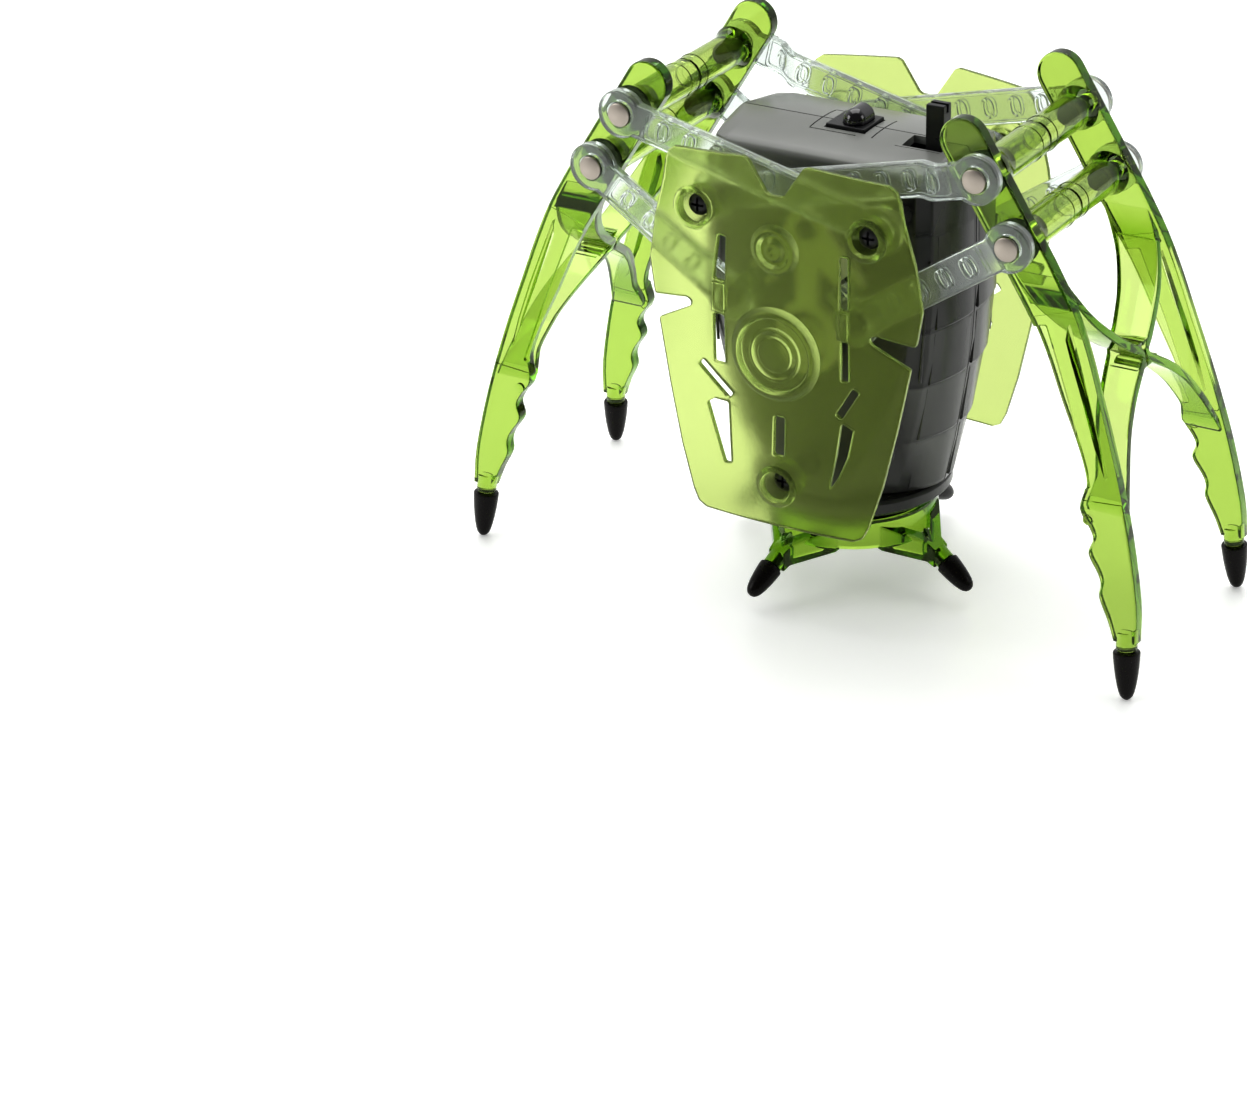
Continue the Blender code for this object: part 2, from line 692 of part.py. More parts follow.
def web_strip(name, side, face):
    """A curved strip, as wide as the leg, from the leg down to the middle and out again."""
    path = smooth_path(WEB_PATH, 1)
    inner = [(x, z) for x, z in LEG_INNER_EDGE]
    outer = [(x, z) for x, z in reversed(LEG_OUTER_EDGE)]
    half_x = BAR_RADIUS * math.cos(BAR_LEAN)
    half_z = BAR_RADIUS * math.sin(BAR_LEAN)
    inner.insert(0, (BAR_TOP[0] - half_x, BAR_TOP[1] - half_z))
    outer.insert(0, (BAR_TOP[0] + half_x, BAR_TOP[1] + half_z))
    corners = ((1, inner, 0.5), (1, outer, -0.5), (-1, outer, -0.5), (-1, inner, 0.5))
    rings = []
    for index, (y, z) in enumerate(path):
        y0, z0 = path[max(0, index - 1)]
        y1, z1 = path[min(len(path) - 1, index + 1)]
        length = math.hypot(y1 - y0, z1 - z0)
        ny = -(z1 - z0) / length * WEB_THICKNESS / 2
        nz = (y1 - y0) / length * WEB_THICKNESS / 2
        ring = []
        for sign, edge, inset in corners:
            yy = max(HALF_SEAM, y + sign * ny)
            zz = z + sign * nz
            ring.append((side * (interpolate(edge, zz) + inset), face * yy, zz))
        rings.append(ring)
    return loft(name, rings)


def leg_half(side_name, side, face_name, face):
    name = f"{side_name}_leg_{face_name}"
    half = (LEG_LAYER[1] - LEG_LAYER[0]) / 2
    leg = flat(name, [mirrored(leg_outline(), side)], -half, half)
    bm = bmesh.new()
    bm.from_mesh(leg.data)
    bmesh.ops.bisect_plane(bm, geom=bm.verts[:] + bm.edges[:] + bm.faces[:], dist=1e-7,
                           plane_co=(0, 0, SPLAY_START * MM), plane_no=(0, 0, 1))
    for vert in bm.verts:
        share = face * vert.co.y / MM
        vert.co.y = face * splayed(share, vert.co.z / MM) * MM
    bmesh.ops.recalc_face_normals(bm, faces=bm.faces[:])
    bm.to_mesh(leg.data)
    bm.free()
    join(leg, web_strip(f"{name}_web", side, face))
    for label, (x, z) in (("upper", PIN_UPPER), ("lower", PIN_LOWER)):
        xz = (side * x, z)
        join(leg, across(f"{name}_{label}_tube", TUBE_RADIUS, xz, face * HALF_SEAM,
                         face * (LEG_LAYER[1] - 0.4), 12))
        cut(leg, across(f"{name}_{label}_bore", PIN_RADIUS + GAP, xz, face * (PIN_INNER_END - GAP),
                        face * (LEG_LAYER[1] + 3), 12))
    join(leg, rod(f"{name}_neck", NECK_RADIUS, tip_point(side, face, TIP_TOP + 3.7),
                  tip_point(side, face, TIP_TOP - 3.3), 10))
    return finish(leg, "lime")


def tip_point(side, face, height):
    """A point on the slanted axis of a leg's rubber tip."""
    share = height / 10.0
    x = FOOT_TIP[0] - 0.75 * share
    y = FOOT_TIP[1] - 0.85 * share
    return (side * x, face * y, height)


def cone_tip(name, base, heading, length, radius, end_radius):
    """A rubber cone with a round end and a socket for its neck."""
    profile = [(0.0, length), (end_radius * 0.6, length - 0.15), (end_radius, length - 1.1),
               (radius, 0.5), (radius * 0.93, 0.0), (NECK_RADIUS + GAP, 0.0),
               (NECK_RADIUS + GAP, 3.6), (0.0, 3.6)]
    return finish(turned(name, profile, base, heading, 12), "rubber")


def leg_tip(side_name, side, face_name, face):
    top = Vector(tip_point(side, face, TIP_TOP))
    end = Vector(tip_point(side, face, 0.0))
    down = end - top
    tip = cone_tip(f"{side_name}_tip_{face_name}", top, down, down.length, 2.5, 1.35)
    for vert in tip.data.vertices:
        if vert.co.z < TREAD_HEIGHT * MM:
            vert.co.z = 0.0
    return tip


def link_pin(name, xz, face):
    pin = across(name, PIN_RADIUS, xz, face * PIN_INNER_END, face * (LINK_LAYER[1] + 0.3), 12)
    return finish(pin, "pin_metal")


SIDES = (("right", 1), ("left", -1))
FACES = (("front", -1), ("back", 1))

for side_name, side in SIDES:
    post_axis = pivot(f"{side_name}_upper_link_axis", (-side * SCREW_POST[0], 0, SCREW_POST[1]))
    leg_axis = pivot(f"{side_name}_leg_axis", (side * PIN_UPPER[0], 0, PIN_UPPER[1]))
    lower_axis = pivot(f"{side_name}_lower_link_axis", (side * PIN_LOWER[0], 0, PIN_LOWER[1]))
    for face_name, face in FACES:
        ride(post_axis, upper_link(side_name, side, face_name, face))
        ride(lower_axis, lower_link(side_name, side, face_name, face))
        ride(leg_axis, leg_half(side_name, side, face_name, face),
             leg_tip(side_name, side, face_name, face))
        for label, (x, z) in (("upper", PIN_UPPER), ("lower", PIN_LOWER)):
            ride(leg_axis, link_pin(f"{side_name}_{label}_pin_{face_name}", (side * x, z), face))


# ---------------------------------------------------------------- rocker and crank


def rocker(name, face):
    """A hub with two forked arms for the links' tail pins and a slotted stem for the crank."""
    near, far = ROCKER_LAYER
    arm = tail_point(1)
    (ux, uz), reach = toward(ROCKER_PIVOT, arm)
    end = (ROCKER_PIVOT[0] + ux * (reach + 1.6), ROCKER_PIVOT[1] + uz * (reach + 1.6))
    body = across(name, ROCKER_HUB, ROCKER_PIVOT, face * near, face * far, 18)
    for side in (1, -1):
        bar = mirrored(slot(ROCKER_PIVOT, end, 6.4, 5.0), side)
        join(body, flat(f"{name}_arm_{side}", [bar], face * (near + 0.05 * (3 + side)),
                        face * (far - 0.05 * (3 + side))))
    loop_middle = CRANK_AXIS[1] - CRANK_THROW + 0.35
    stem = [(-2.2, loop_middle + 5.2), (2.2, loop_middle + 5.2), (2.2, ROCKER_PIVOT[1] - 2),
            (-2.2, ROCKER_PIVOT[1] - 2)]
    join(body, flat(f"{name}_stem", [stem], face * (near + 0.05), face * (far - 0.05)))
    half = ECCENTRIC_RADIUS + GAP
    upper = (0, loop_middle + SLOT_HALF_LENGTH)
    lower = (0, loop_middle - SLOT_HALF_LENGTH)
    oblong = arc(upper, half + 2.0, 0, 180, 8) + arc(lower, half + 2.0, 180, 360, 8)
    hollow = arc(upper, half, 0, 180, 8) + arc(lower, half, 180, 360, 8)
    join(body, flat(f"{name}_loop", [oblong], face * (near + 0.1), face * (far - 0.1)))
    cut(body, flat(f"{name}_slot", [hollow], face * (near - 2), face * (far + 2)))
    for side in (1, -1):
        inner = (ROCKER_PIVOT[0] + side * ux * (reach - 1.8), ROCKER_PIVOT[1] + uz * (reach - 1.8))
        outer = (ROCKER_PIVOT[0] + side * ux * (reach + 4), ROCKER_PIVOT[1] + uz * (reach + 4))
        cut(body, flat(f"{name}_fork_{side}", [slot(inner, outer, 2.7)], face * (near - 2),
                       face * (far + 2)))
    cut(body, across(f"{name}_bore", PEG_RADIUS + GAP, ROCKER_PIVOT, face * (near - 2),
                     face * (far + 2), 14))
    return finish(body, "nylon")


def gear_outline(centre, teeth):
    """A spur gear's outline, with straight-sided teeth."""
    pitch = teeth * GEAR_MODULE / 2
    out = []
    for tooth in range(teeth):
        for share, rise in ((-0.30, -0.5), (-0.14, 0.45), (0.14, 0.45), (0.30, -0.5)):
            angle = 2 * math.pi * (tooth + share) / teeth
            radius = pitch + rise * GEAR_MODULE
            out.append((centre[0] + radius * math.cos(angle), centre[1] + radius * math.sin(angle)))
    return out


rocker_axis = pivot("rocker_axis", (ROCKER_PIVOT[0], 0, ROCKER_PIVOT[1]))
ride(rocker_axis, rocker("rocker_front", -1), rocker("rocker_back", 1))

crank_axis = pivot("crank_axis", (CRANK_AXIS[0], 0, CRANK_AXIS[1]))
crank_shaft = finish(across("crank_shaft", SHAFT_RADIUS, CRANK_AXIS, -19.0, 19.0), "steel")
crank_gear = flat("crank_gear", [
    gear_outline(CRANK_AXIS, CRANK_TEETH),
    arc(CRANK_AXIS, SHAFT_RADIUS + GAP, 0, 337.5, 15),
], *CRANK_GEAR_LAYER)
finish(crank_gear, "nylon")
ride(crank_axis, crank_shaft, crank_gear)
for face_name, face in FACES:
    near, far = ROCKER_LAYER
    centre = (CRANK_AXIS[0], CRANK_AXIS[1] - CRANK_THROW)
    eccentric = across(f"eccentric_{face_name}", ECCENTRIC_RADIUS, centre, face * near,
                       face * far, 28)
    cut(eccentric, across(f"eccentric_{face_name}_bore", SHAFT_RADIUS + GAP, CRANK_AXIS,
                          face * (near - 1), face * (far + 1), 16))
    ride(crank_axis, finish(eccentric, "nylon"))

walk_drop = (CRANK_TEETH + PINION_TEETH) * GEAR_MODULE / 2 + MESH_SPACE
walk_axis = (CRANK_AXIS[0], CRANK_AXIS[1] + walk_drop)
walk_pinion = flat("walk_pinion", [gear_outline(walk_axis, PINION_TEETH)], *WALK_PINION_LAYER)
join(walk_pinion, across("walk_shaft", 0.6, walk_axis, -1.4, 0.6, 10))
finish(walk_pinion, "nylon")
ride(pivot("walk_pinion_axis", (walk_axis[0], 0, walk_axis[1])), walk_pinion)


def motor(name, axis_start, direction, length):
    """A round can with a flat end boss."""
    can = turned(name, [
        (0, length), (MOTOR_RADIUS, length), (MOTOR_RADIUS, 0.3), (1.6, 0.3), (1.6, -0.3),
        (1.0, -0.3), (1.0, 0.6), (0, 0.6),
    ], axis_start, direction, 18)
    return finish(can, "steel")


motor("walk_motor", (walk_axis[0], 0.6, walk_axis[1]), (0, 1, 0), WALK_MOTOR_LENGTH)


# ---------------------------------------------------------------- turning foot


def on_foot(radius, across_toe, angle):
    """(x, y) of a point at a radius along a toe and a distance across it."""
    c = math.cos(angle)
    s = math.sin(angle)
    return (radius * c - across_toe * s, radius * s + across_toe * c)


def toe(name, angle):
    """Two struts that run from the hub's rim and meet at the tip's collar."""
    outline = [(TOE_ROOT - 0.5, -9.0), (14.6, -8.4), (TOE_REACH - 1.5, -2.1), (TOE_REACH, -1.9),
               (TOE_REACH, 1.9), (TOE_REACH - 1.5, 2.1), (14.6, 8.4), (TOE_ROOT - 0.5, 9.0)]
    gap = [(12.9, -5.2), (14.8, -4.9), (18.2, 0.0), (14.8, 4.9), (12.9, 5.2)]
    plate = flat(name, [outline, gap], -1.0, 1.0)
    bm = bmesh.new()
    bm.from_mesh(plate.data)
    for vert in bm.verts:
        radius = vert.co.x / MM
        sideways = vert.co.z / MM
        share = min(1.0, max(0.0, (radius - TOE_ROOT) / (TOE_REACH - TOE_ROOT)))
        middle = 13.2 - 4.9 * share
        half = 2.6 - 0.7 * share
        x, y = on_foot(radius, sideways, angle)
        vert.co = metres((x, y, middle + half * vert.co.y / MM))
    bmesh.ops.recalc_face_normals(bm, faces=bm.faces[:])
    bm.to_mesh(plate.data)
    bm.free()
    return plate


foot_hub = turned("foot_hub", [
    (0, SPINDLE_TOP), (SPINDLE_RADIUS, SPINDLE_TOP), (SPINDLE_RADIUS, HUB_TOP),
    (HUB_RADIUS - 1.0, HUB_TOP), (HUB_RADIUS, HUB_TOP - 1.0), (HUB_RADIUS, HUB_BOTTOM + 1.2),
    (HUB_RADIUS - 1.2, HUB_BOTTOM), (HUB_RADIUS - HUB_WALL, HUB_BOTTOM),
    (HUB_RADIUS - HUB_WALL, HUB_TOP - 2.4), (4.2, HUB_TOP - 2.4), (4.2, HUB_BOTTOM + 1.5),
    (0, HUB_BOTTOM + 1.5),
], (0, 0, 0), (0, 0, 1), 24)
foot_axis = pivot("foot_axis", (0, 0, HUB_BOTTOM))
TOE_NAMES = ("toe_back", "toe_left", "toe_front", "toe_right")
for number, toe_name in enumerate(TOE_NAMES):
    angle = math.radians(TOE_TURN + 90 * number)
    join(foot_hub, toe(f"{toe_name}_struts", angle))
    heading = Vector((math.cos(angle) * math.cos(TIP_SLOPE), math.sin(angle) * math.cos(TIP_SLOPE),
                      -math.sin(TIP_SLOPE)))
    x, y = on_foot(TOE_REACH, 0, angle)
    collar = Vector((x, y, COLLAR_HEIGHT))
    join(foot_hub, rod(f"{toe_name}_neck", NECK_RADIUS, collar - heading * 1.5,
                       collar + heading * 4.6, 10))
    tip = cone_tip(f"{toe_name}_tip", collar + heading * 1.7, heading, 7.0, 2.3, 1.3)
    ride(foot_axis, tip)
cut(foot_hub, rod("spindle_bore", SCREW_SHANK + GAP, (0, 0, 20.0), (0, 0, 30.0), 12))
finish(foot_hub, "hub")

foot_screw = turned("foot_screw", [
    (0, SPINDLE_TOP + 2.0), (2.4, SPINDLE_TOP + 2.0), (2.4, SPINDLE_TOP + GAP),
    (SCREW_SHANK, SPINDLE_TOP + GAP), (SCREW_SHANK, 20.6), (0, 20.4),
], (0, 0, 0), (0, 0, 1), 16)
finish(foot_screw, "steel")


def upright(obj):
    """Stands a piece made in the XZ plane on the XY plane, its Y layers becoming heights."""
    obj.data.transform(Matrix(((1, 0, 0, 0), (0, 0, 1, 0), (0, 1, 0, 0), (0, 0, 0, 1))))
    obj.data.flip_normals()
    return obj


turn_gear = upright(flat("turn_gear", [
    gear_outline((0, 0), TURN_TEETH), arc((0, 0), SPINDLE_RADIUS + GAP, 0, 337.5, 15),
], *TURN_GEAR_LAYER))
finish(turn_gear, "nylon")
ride(foot_axis, foot_hub, foot_screw, turn_gear)

turn_axis_x = (TURN_TEETH + PINION_TEETH) * GEAR_MODULE / 2 + MESH_SPACE
turn_pinion = upright(flat("turn_pinion", [gear_outline((turn_axis_x, 0), PINION_TEETH)],
                           *TURN_PINION_LAYER))
join(turn_pinion, rod("turn_shaft", 0.6, (turn_axis_x, 0, 25.0), (turn_axis_x, 0, 27.0), 10))
finish(turn_pinion, "nylon")
ride(pivot("turn_pinion_axis", (turn_axis_x, 0, 24)), turn_pinion)
motor("turn_motor", (turn_axis_x, 0, 27.0), (0, 0, 1), TURN_MOTOR_LENGTH)


# ---------------------------------------------------------------- electrics

circuit_board = finish(box("circuit_board", *BOARD), "board")

for number, z in enumerate(CELL_HEIGHTS, start=1):
    near, far = CELL_DEPTH
    cell = turned(f"button_cell_{number}", [
        (0, far), (CELL_RADIUS, far), (CELL_RADIUS, near + 0.8), (CELL_RADIUS - 1.1, near + 0.6),
        (CELL_RADIUS - 1.1, near), (0, near),
    ], (CELL_X, 0, z), (0, 1, 0), 18)
    finish(cell, "steel")

tray_low = CELL_HEIGHTS[-1] - CELL_RADIUS - 1.2
tray_high = CELL_HEIGHTS[0] + CELL_RADIUS + 1.2
tray_back = CELL_DEPTH[1] + GAP
battery_tray = box("battery_tray", (TRAY_X[0], tray_back, tray_low),
                   (TRAY_X[1], tray_back + TRAY_THICKNESS, tray_high))
for number, (low, high) in enumerate(((tray_low, tray_low + 0.8), (tray_high - 0.8, tray_high))):
    join(battery_tray, box(f"tray_end_{number}", (TRAY_X[0], CELL_DEPTH[0] - 0.4, low),
                           (TRAY_X[1], tray_back + 0.7, high)))
finish(battery_tray, "black")

ride(pivot("power_switch_axis", (SWITCH_X[0], SWITCH_Y[0], 90.0)), power_switch)
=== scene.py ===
import json
import math

import bmesh
import bpy
from mathutils import Matrix, Vector


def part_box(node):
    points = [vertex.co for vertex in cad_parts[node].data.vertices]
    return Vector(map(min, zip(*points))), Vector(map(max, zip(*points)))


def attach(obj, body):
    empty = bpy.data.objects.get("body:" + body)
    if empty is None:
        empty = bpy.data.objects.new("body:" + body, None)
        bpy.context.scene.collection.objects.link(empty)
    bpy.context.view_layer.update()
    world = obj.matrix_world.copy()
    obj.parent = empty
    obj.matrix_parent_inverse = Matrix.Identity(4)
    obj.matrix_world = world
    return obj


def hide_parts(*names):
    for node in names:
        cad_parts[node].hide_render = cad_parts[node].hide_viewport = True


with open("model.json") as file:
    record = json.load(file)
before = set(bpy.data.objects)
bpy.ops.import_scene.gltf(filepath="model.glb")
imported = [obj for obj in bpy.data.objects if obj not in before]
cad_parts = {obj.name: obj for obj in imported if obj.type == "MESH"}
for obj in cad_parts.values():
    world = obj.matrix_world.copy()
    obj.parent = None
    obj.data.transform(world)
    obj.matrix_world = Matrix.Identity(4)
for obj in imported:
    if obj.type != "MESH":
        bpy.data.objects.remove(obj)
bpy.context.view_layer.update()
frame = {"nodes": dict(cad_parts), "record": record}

MM = 0.001
scene = bpy.context.scene
BODY_OF = {node: body for body, nodes in frame["record"]["behaviour"]["bodies"].items()
           for node in nodes}

# Shapes and the camera's place are in millimetres; bump depths, the floor and the lamps are in
# metres. Points of the linkage are (x, z) on the right-hand side, and its layers are |y|.
SCREW_POST = (17.5, 80.4)
LINK_PEG = (13.0, 61.8)
LOWER_POST = (0.0, 28.7)
PIN_UPPER = (36.2, 93.3)
PIN_LOWER = (42.7, 81.8)
ROCKER_PIVOT = (0.0, 75.8)
CRANK_AXIS = (0.0, 55.4)
FOOT_TIP = (69.55, 25.3)
TAIL_LENGTH = 6.0
HALF_SEAM = 0.15
LEG_FAR = 21.1
LEG_HALF = 1.5
OUTSIDE = 3.0
LINK_NEAR, LINK_FAR = 21.6, 24.0
LINK_DROP = 2.8
JOGGLE = (23.5, 28.5)
PIN_END = 24.3
PIN_INNER_END = 12.9
PIN_RADIUS = 2.3
POST_RADIUS = 2.3
PEG_RADIUS = 1.9
GAP = 0.3
SCREW_HOLE = 1.2
EYE_RADIUS = 4.6
LINK_HALF_WIDTH = 3.25
BAR_TOP = (32.2, 98.9)
BAR_RADIUS = 4.4
BAR_LEAN = 32.0
SPLAY_START = 67.0
SPLAY_BLEND = 9.0
SPLAY_MIDDLE = 19.6
WEB_HALF = 0.9
PLATE_FACE = 30.4
PLATE_THICKNESS = 1.2
PLATE_SWEEP = 3.0
PLATE_HALF_WIDTH = 28.2
CUP_FLOOR = 24.6
CAP_BOTTOM = 18.2
CAP_RADIUS = 19.3
HUB_RADIUS = 16.5
HUB_BOTTOM = 10.0
HUB_TOP = 17.6
SPINDLE_RADIUS = 3.0
TOE_TURN = 77.0
TOE_REACH = 22.2
TIP_SLOPE = math.radians(33.0)

# Outlines as (x, z), apart from the web's path, which is (|y|, z).
LEG_INNER_EDGE = (
    (41.5, 75.8), (46.1, 68.5), (49.3, 62.5), (53.0, 54.0), (57.0, 45.5), (58.9, 39.6),
    (58.2, 35.0), (60.4, 31.6), (61.2, 29.6), (60.5, 26.8), (62.6, 23.4), (63.3, 21.4),
    (63.2, 18.9), (65.2, 14.8), (66.6, 11.2),
)
LEG_OUTER_EDGE = (
    (71.0, 11.4), (70.5, 19.0), (68.0, 31.0), (65.2, 41.0), (62.8, 48.5), (60.2, 56.0),
    (57.4, 64.0), (54.2, 71.5), (49.8, 79.3),
)
WEB_PATH = (
    (18.8, 76.0), (17.6, 72.6), (15.2, 68.6), (11.9, 64.9), (8.0, 61.6), (3.8, 58.6), (1.25, 57.1),
    (1.25, 55.5), (3.8, 53.8), (8.4, 50.9), (12.7, 47.2), (16.0, 43.0), (18.7, 38.6), (21.0, 34.4),
)
PLATE_RIGHT_EDGE = (
    (1.2, 86.2), (1.9, 86.6), (5.6, 92.2), (6.6, 92.6), (21.8, 91.3), (23.2, 90.3), (24.0, 88.4),
    (24.7, 84.2), (26.8, 76.7), (28.2, 68.0), (27.1, 61.1), (19.5, 62.3), (18.6, 61.9),
    (18.5, 61.1), (19.1, 60.5), (26.2, 56.6), (23.8, 44.0), (21.2, 32.4), (18.6, 23.8),
    (17.4, 21.4), (15.6, 20.5),
)


# ---- materials

DRIFT_SHADE = 0.88
NOISE_LOW, NOISE_HIGH = 0.3, 0.7
GRAIN_STRENGTH = 0.5
WAVE_STRENGTH = 0.6
COAT_ROUGHNESS = 0.08


def nodes_of(owner):
    """The emptied node tree of a material or a world."""
    owner.use_nodes = True
    tree = owner.node_tree
    tree.nodes.clear()
    return tree


def link_up(tree, a, out, b, into):
    tree.links.new(a.outputs[out], b.inputs[into])


def set_inputs(node, values):
    for name, value in values.items():
        node.inputs[name].default_value = value


def noise_node(tree, coords, scale, detail, stretch):
    source = coords
    if stretch:
        mapping = tree.nodes.new("ShaderNodeMapping")
        set_inputs(mapping, {"Scale": stretch})
        link_up(tree, coords, "Object", mapping, "Vector")
        source = mapping
    noise = tree.nodes.new("ShaderNodeTexNoise")
    set_inputs(noise, {"Scale": scale, "Detail": detail})
    link_up(tree, source, "Object" if source is coords else "Vector", noise, "Vector")
    return noise


def grey_ramp(tree, split, axis, low, high, stops):
    """A grey that changes along one axis of the object, from stops of (place in mm, grey)."""
    span = tree.nodes.new("ShaderNodeMapRange")
    set_inputs(span, {"From Min": low * MM, "From Max": high * MM})
    link_up(tree, split, axis, span, "Value")
    ramp = tree.nodes.new("ShaderNodeValToRGB")
    while len(ramp.color_ramp.elements) < len(stops):
        ramp.color_ramp.elements.new(0.5)
    for element, (place, grey) in zip(ramp.color_ramp.elements, stops):
        element.position = (place - low) / (high - low)
        element.color = (grey, grey, grey, 1)
    link_up(tree, span, "Result", ramp, "Fac")
    return ramp


def multiplied(tree, mix, grey, socket):
    product = tree.nodes.new("ShaderNodeMix")
    product.data_type = "RGBA"
    product.blend_type = "MULTIPLY"
    product.inputs["Factor"].default_value = 1.0
    link_up(tree, mix, "Result", product, "A")
    link_up(tree, grey, socket, product, "B")
    return product


def blended(tree, factor, start, socket, end=None):
    """Goes from start to end, or to white, as the grey called factor goes from 0 to 1."""
    blend = tree.nodes.new("ShaderNodeMix")
    blend.data_type = "RGBA"
    link_up(tree, factor, "Color", blend, "Factor")
    link_up(tree, start, socket, blend, "A")
    if end:
        link_up(tree, end, "Color", blend, "B")
    else:
        blend.inputs["B"].default_value = (1, 1, 1, 1)
    return blend


def painted_light_by_place(tree, split, mix, side_painted_stops, front_painted_stops, mask_stops, roof_stops):
    """Paints light and shade into a colour: painted shade by height on the sides, painted light
    from the left across the front, and hardly any on the roof.
    """
    side = grey_ramp(tree, split, "Z", 0.0, 100.0, side_painted_stops)
    front = grey_ramp(tree, split, "X", -30.0, 30.0, front_painted_stops)
    mask = grey_ramp(tree, split, "X", -30.0, 30.0, mask_stops)
    roof = grey_ramp(tree, split, "Z", 80.0, 100.0, roof_stops)
    walls = blended(tree, mask, front, "Color", side)
    return multiplied(tree, mix, blended(tree, roof, walls, "Result"), "Result")


def surface(name, tint, rough, *, second=None, metallic=0.0, clear=0.0, ior=1.49, coat=0.0,
            grain=900.0, grain_depth=0.000002, wave=90.0, wave_depth=0.0, stretch=None,
            absorb=None, density=0.0, rough_spread=0.06, specular=0.5,
            gloss_tint=(1.0, 1.0, 1.0), painted_light_stops=None, length_stops=None):
    """A moulded or metal surface: tint and roughness drift, a fine grain and a soft waviness.

    The housing's stops paint light and shade onto it by place, and length_stops shade a pin along
    Y.
    """
    made = bpy.data.materials.new(name)
    tree = nodes_of(made)
    out = tree.nodes.new("ShaderNodeOutputMaterial")
    shader = tree.nodes.new("ShaderNodeBsdfPrincipled")
    link_up(tree, shader, "BSDF", out, "Surface")
    coords = tree.nodes.new("ShaderNodeTexCoord")
    drift = noise_node(tree, coords, wave, 2.0, stretch)
    fine = noise_node(tree, coords, grain, 4.0, stretch)

    mix = tree.nodes.new("ShaderNodeMix")
    mix.data_type = "RGBA"
    other = second or [c * DRIFT_SHADE for c in tint]
    set_inputs(mix, {"A": (*tint, 1.0), "B": (*other, 1.0)})
    link_up(tree, drift, "Fac", mix, "Factor")
    tinted = mix
    if painted_light_stops or length_stops:
        split = tree.nodes.new("ShaderNodeSeparateXYZ")
        link_up(tree, coords, "Object", split, "Vector")
        if painted_light_stops:
            # Light and shade painted onto the housing's colour by place.
            tinted = painted_light_by_place(tree, split, mix, *painted_light_stops)
        else:
            along = grey_ramp(tree, split, "Y", -30.0, 30.0, length_stops)
            tinted = multiplied(tree, mix, along, "Color")
    link_up(tree, tinted, "Result", shader, "Base Color")

    spread = tree.nodes.new("ShaderNodeMapRange")
    set_inputs(spread, {"From Min": NOISE_LOW, "From Max": NOISE_HIGH,
                        "To Min": max(0.0, rough - rough_spread), "To Max": rough + rough_spread})
    link_up(tree, fine, "Fac", spread, "Value")
    link_up(tree, spread, "Result", shader, "Roughness")

    small = tree.nodes.new("ShaderNodeBump")
    set_inputs(small, {"Strength": GRAIN_STRENGTH, "Distance": grain_depth})
    link_up(tree, fine, "Fac", small, "Height")
    if wave_depth:
        broad = tree.nodes.new("ShaderNodeBump")
        set_inputs(broad, {"Strength": WAVE_STRENGTH, "Distance": wave_depth})
        link_up(tree, drift, "Fac", broad, "Height")
        link_up(tree, broad, "Normal", small, "Normal")
    link_up(tree, small, "Normal", shader, "Normal")

    set_inputs(shader, {
        "Metallic": metallic, "IOR": ior, "Specular IOR Level": specular,
        "Specular Tint": (*gloss_tint, 1.0), "Transmission Weight": clear,
        "Coat Weight": coat, "Coat Roughness": COAT_ROUGHNESS,
    })
    if absorb:
        volume = tree.nodes.new("ShaderNodeVolumeAbsorption")
        set_inputs(volume, {"Color": (*absorb, 1.0), "Density": density})
        link_up(tree, volume, "Volume", out, "Volume")
    return made


# Height in mm and grey, painted shade and light on the housing's sides: each side panel is painted
# pale under its upper edge and dark at its lower one, with a painted shadow line at each break, and
# the whole is painted darker upwards.
SIDE_PAINTED_SHADE = (
    (20.0, 0.38), (22.8, 0.44), (33.9, 0.60), (34.3, 0.20), (34.9, 0.20), (35.4, 0.30),
    (46.0, 0.40), (46.4, 0.08), (46.9, 0.08), (47.4, 0.13), (57.4, 0.20), (57.8, 0.04),
    (58.3, 0.04), (58.8, 0.09), (76.5, 0.07), (76.8, 0.03), (77.3, 0.03), (77.8, 0.06),
    (88.0, 0.08),
)
# Place across the front in mm and grey: painted light, the front painted paler towards the left,
# where the light falls, and darker towards the right.
FRONT_PAINTED_LIGHT = ((-26.0, 1.0), (-14.0, 0.80), (-2.0, 0.42), (8.0, 0.22), (17.0, 0.12))
# How far the sides' painted shade stands in for the front's painted light, across the front, and
# how far white, free of painted shade, stands in for both, by height.
SIDE_MASK = ((-20.5, 1.0), (-17.5, 0.0), (17.0, 0.0), (20.5, 1.0))
ROOF_MASK = ((87.2, 0.0), (88.4, 0.95))
# Place along a link pin in mm and grey: the end faces are pale and the length is dark.
PIN_SHADES = ((-24.1, 1.0), (-23.8, 0.16), (23.8, 0.16), (24.1, 1.0))

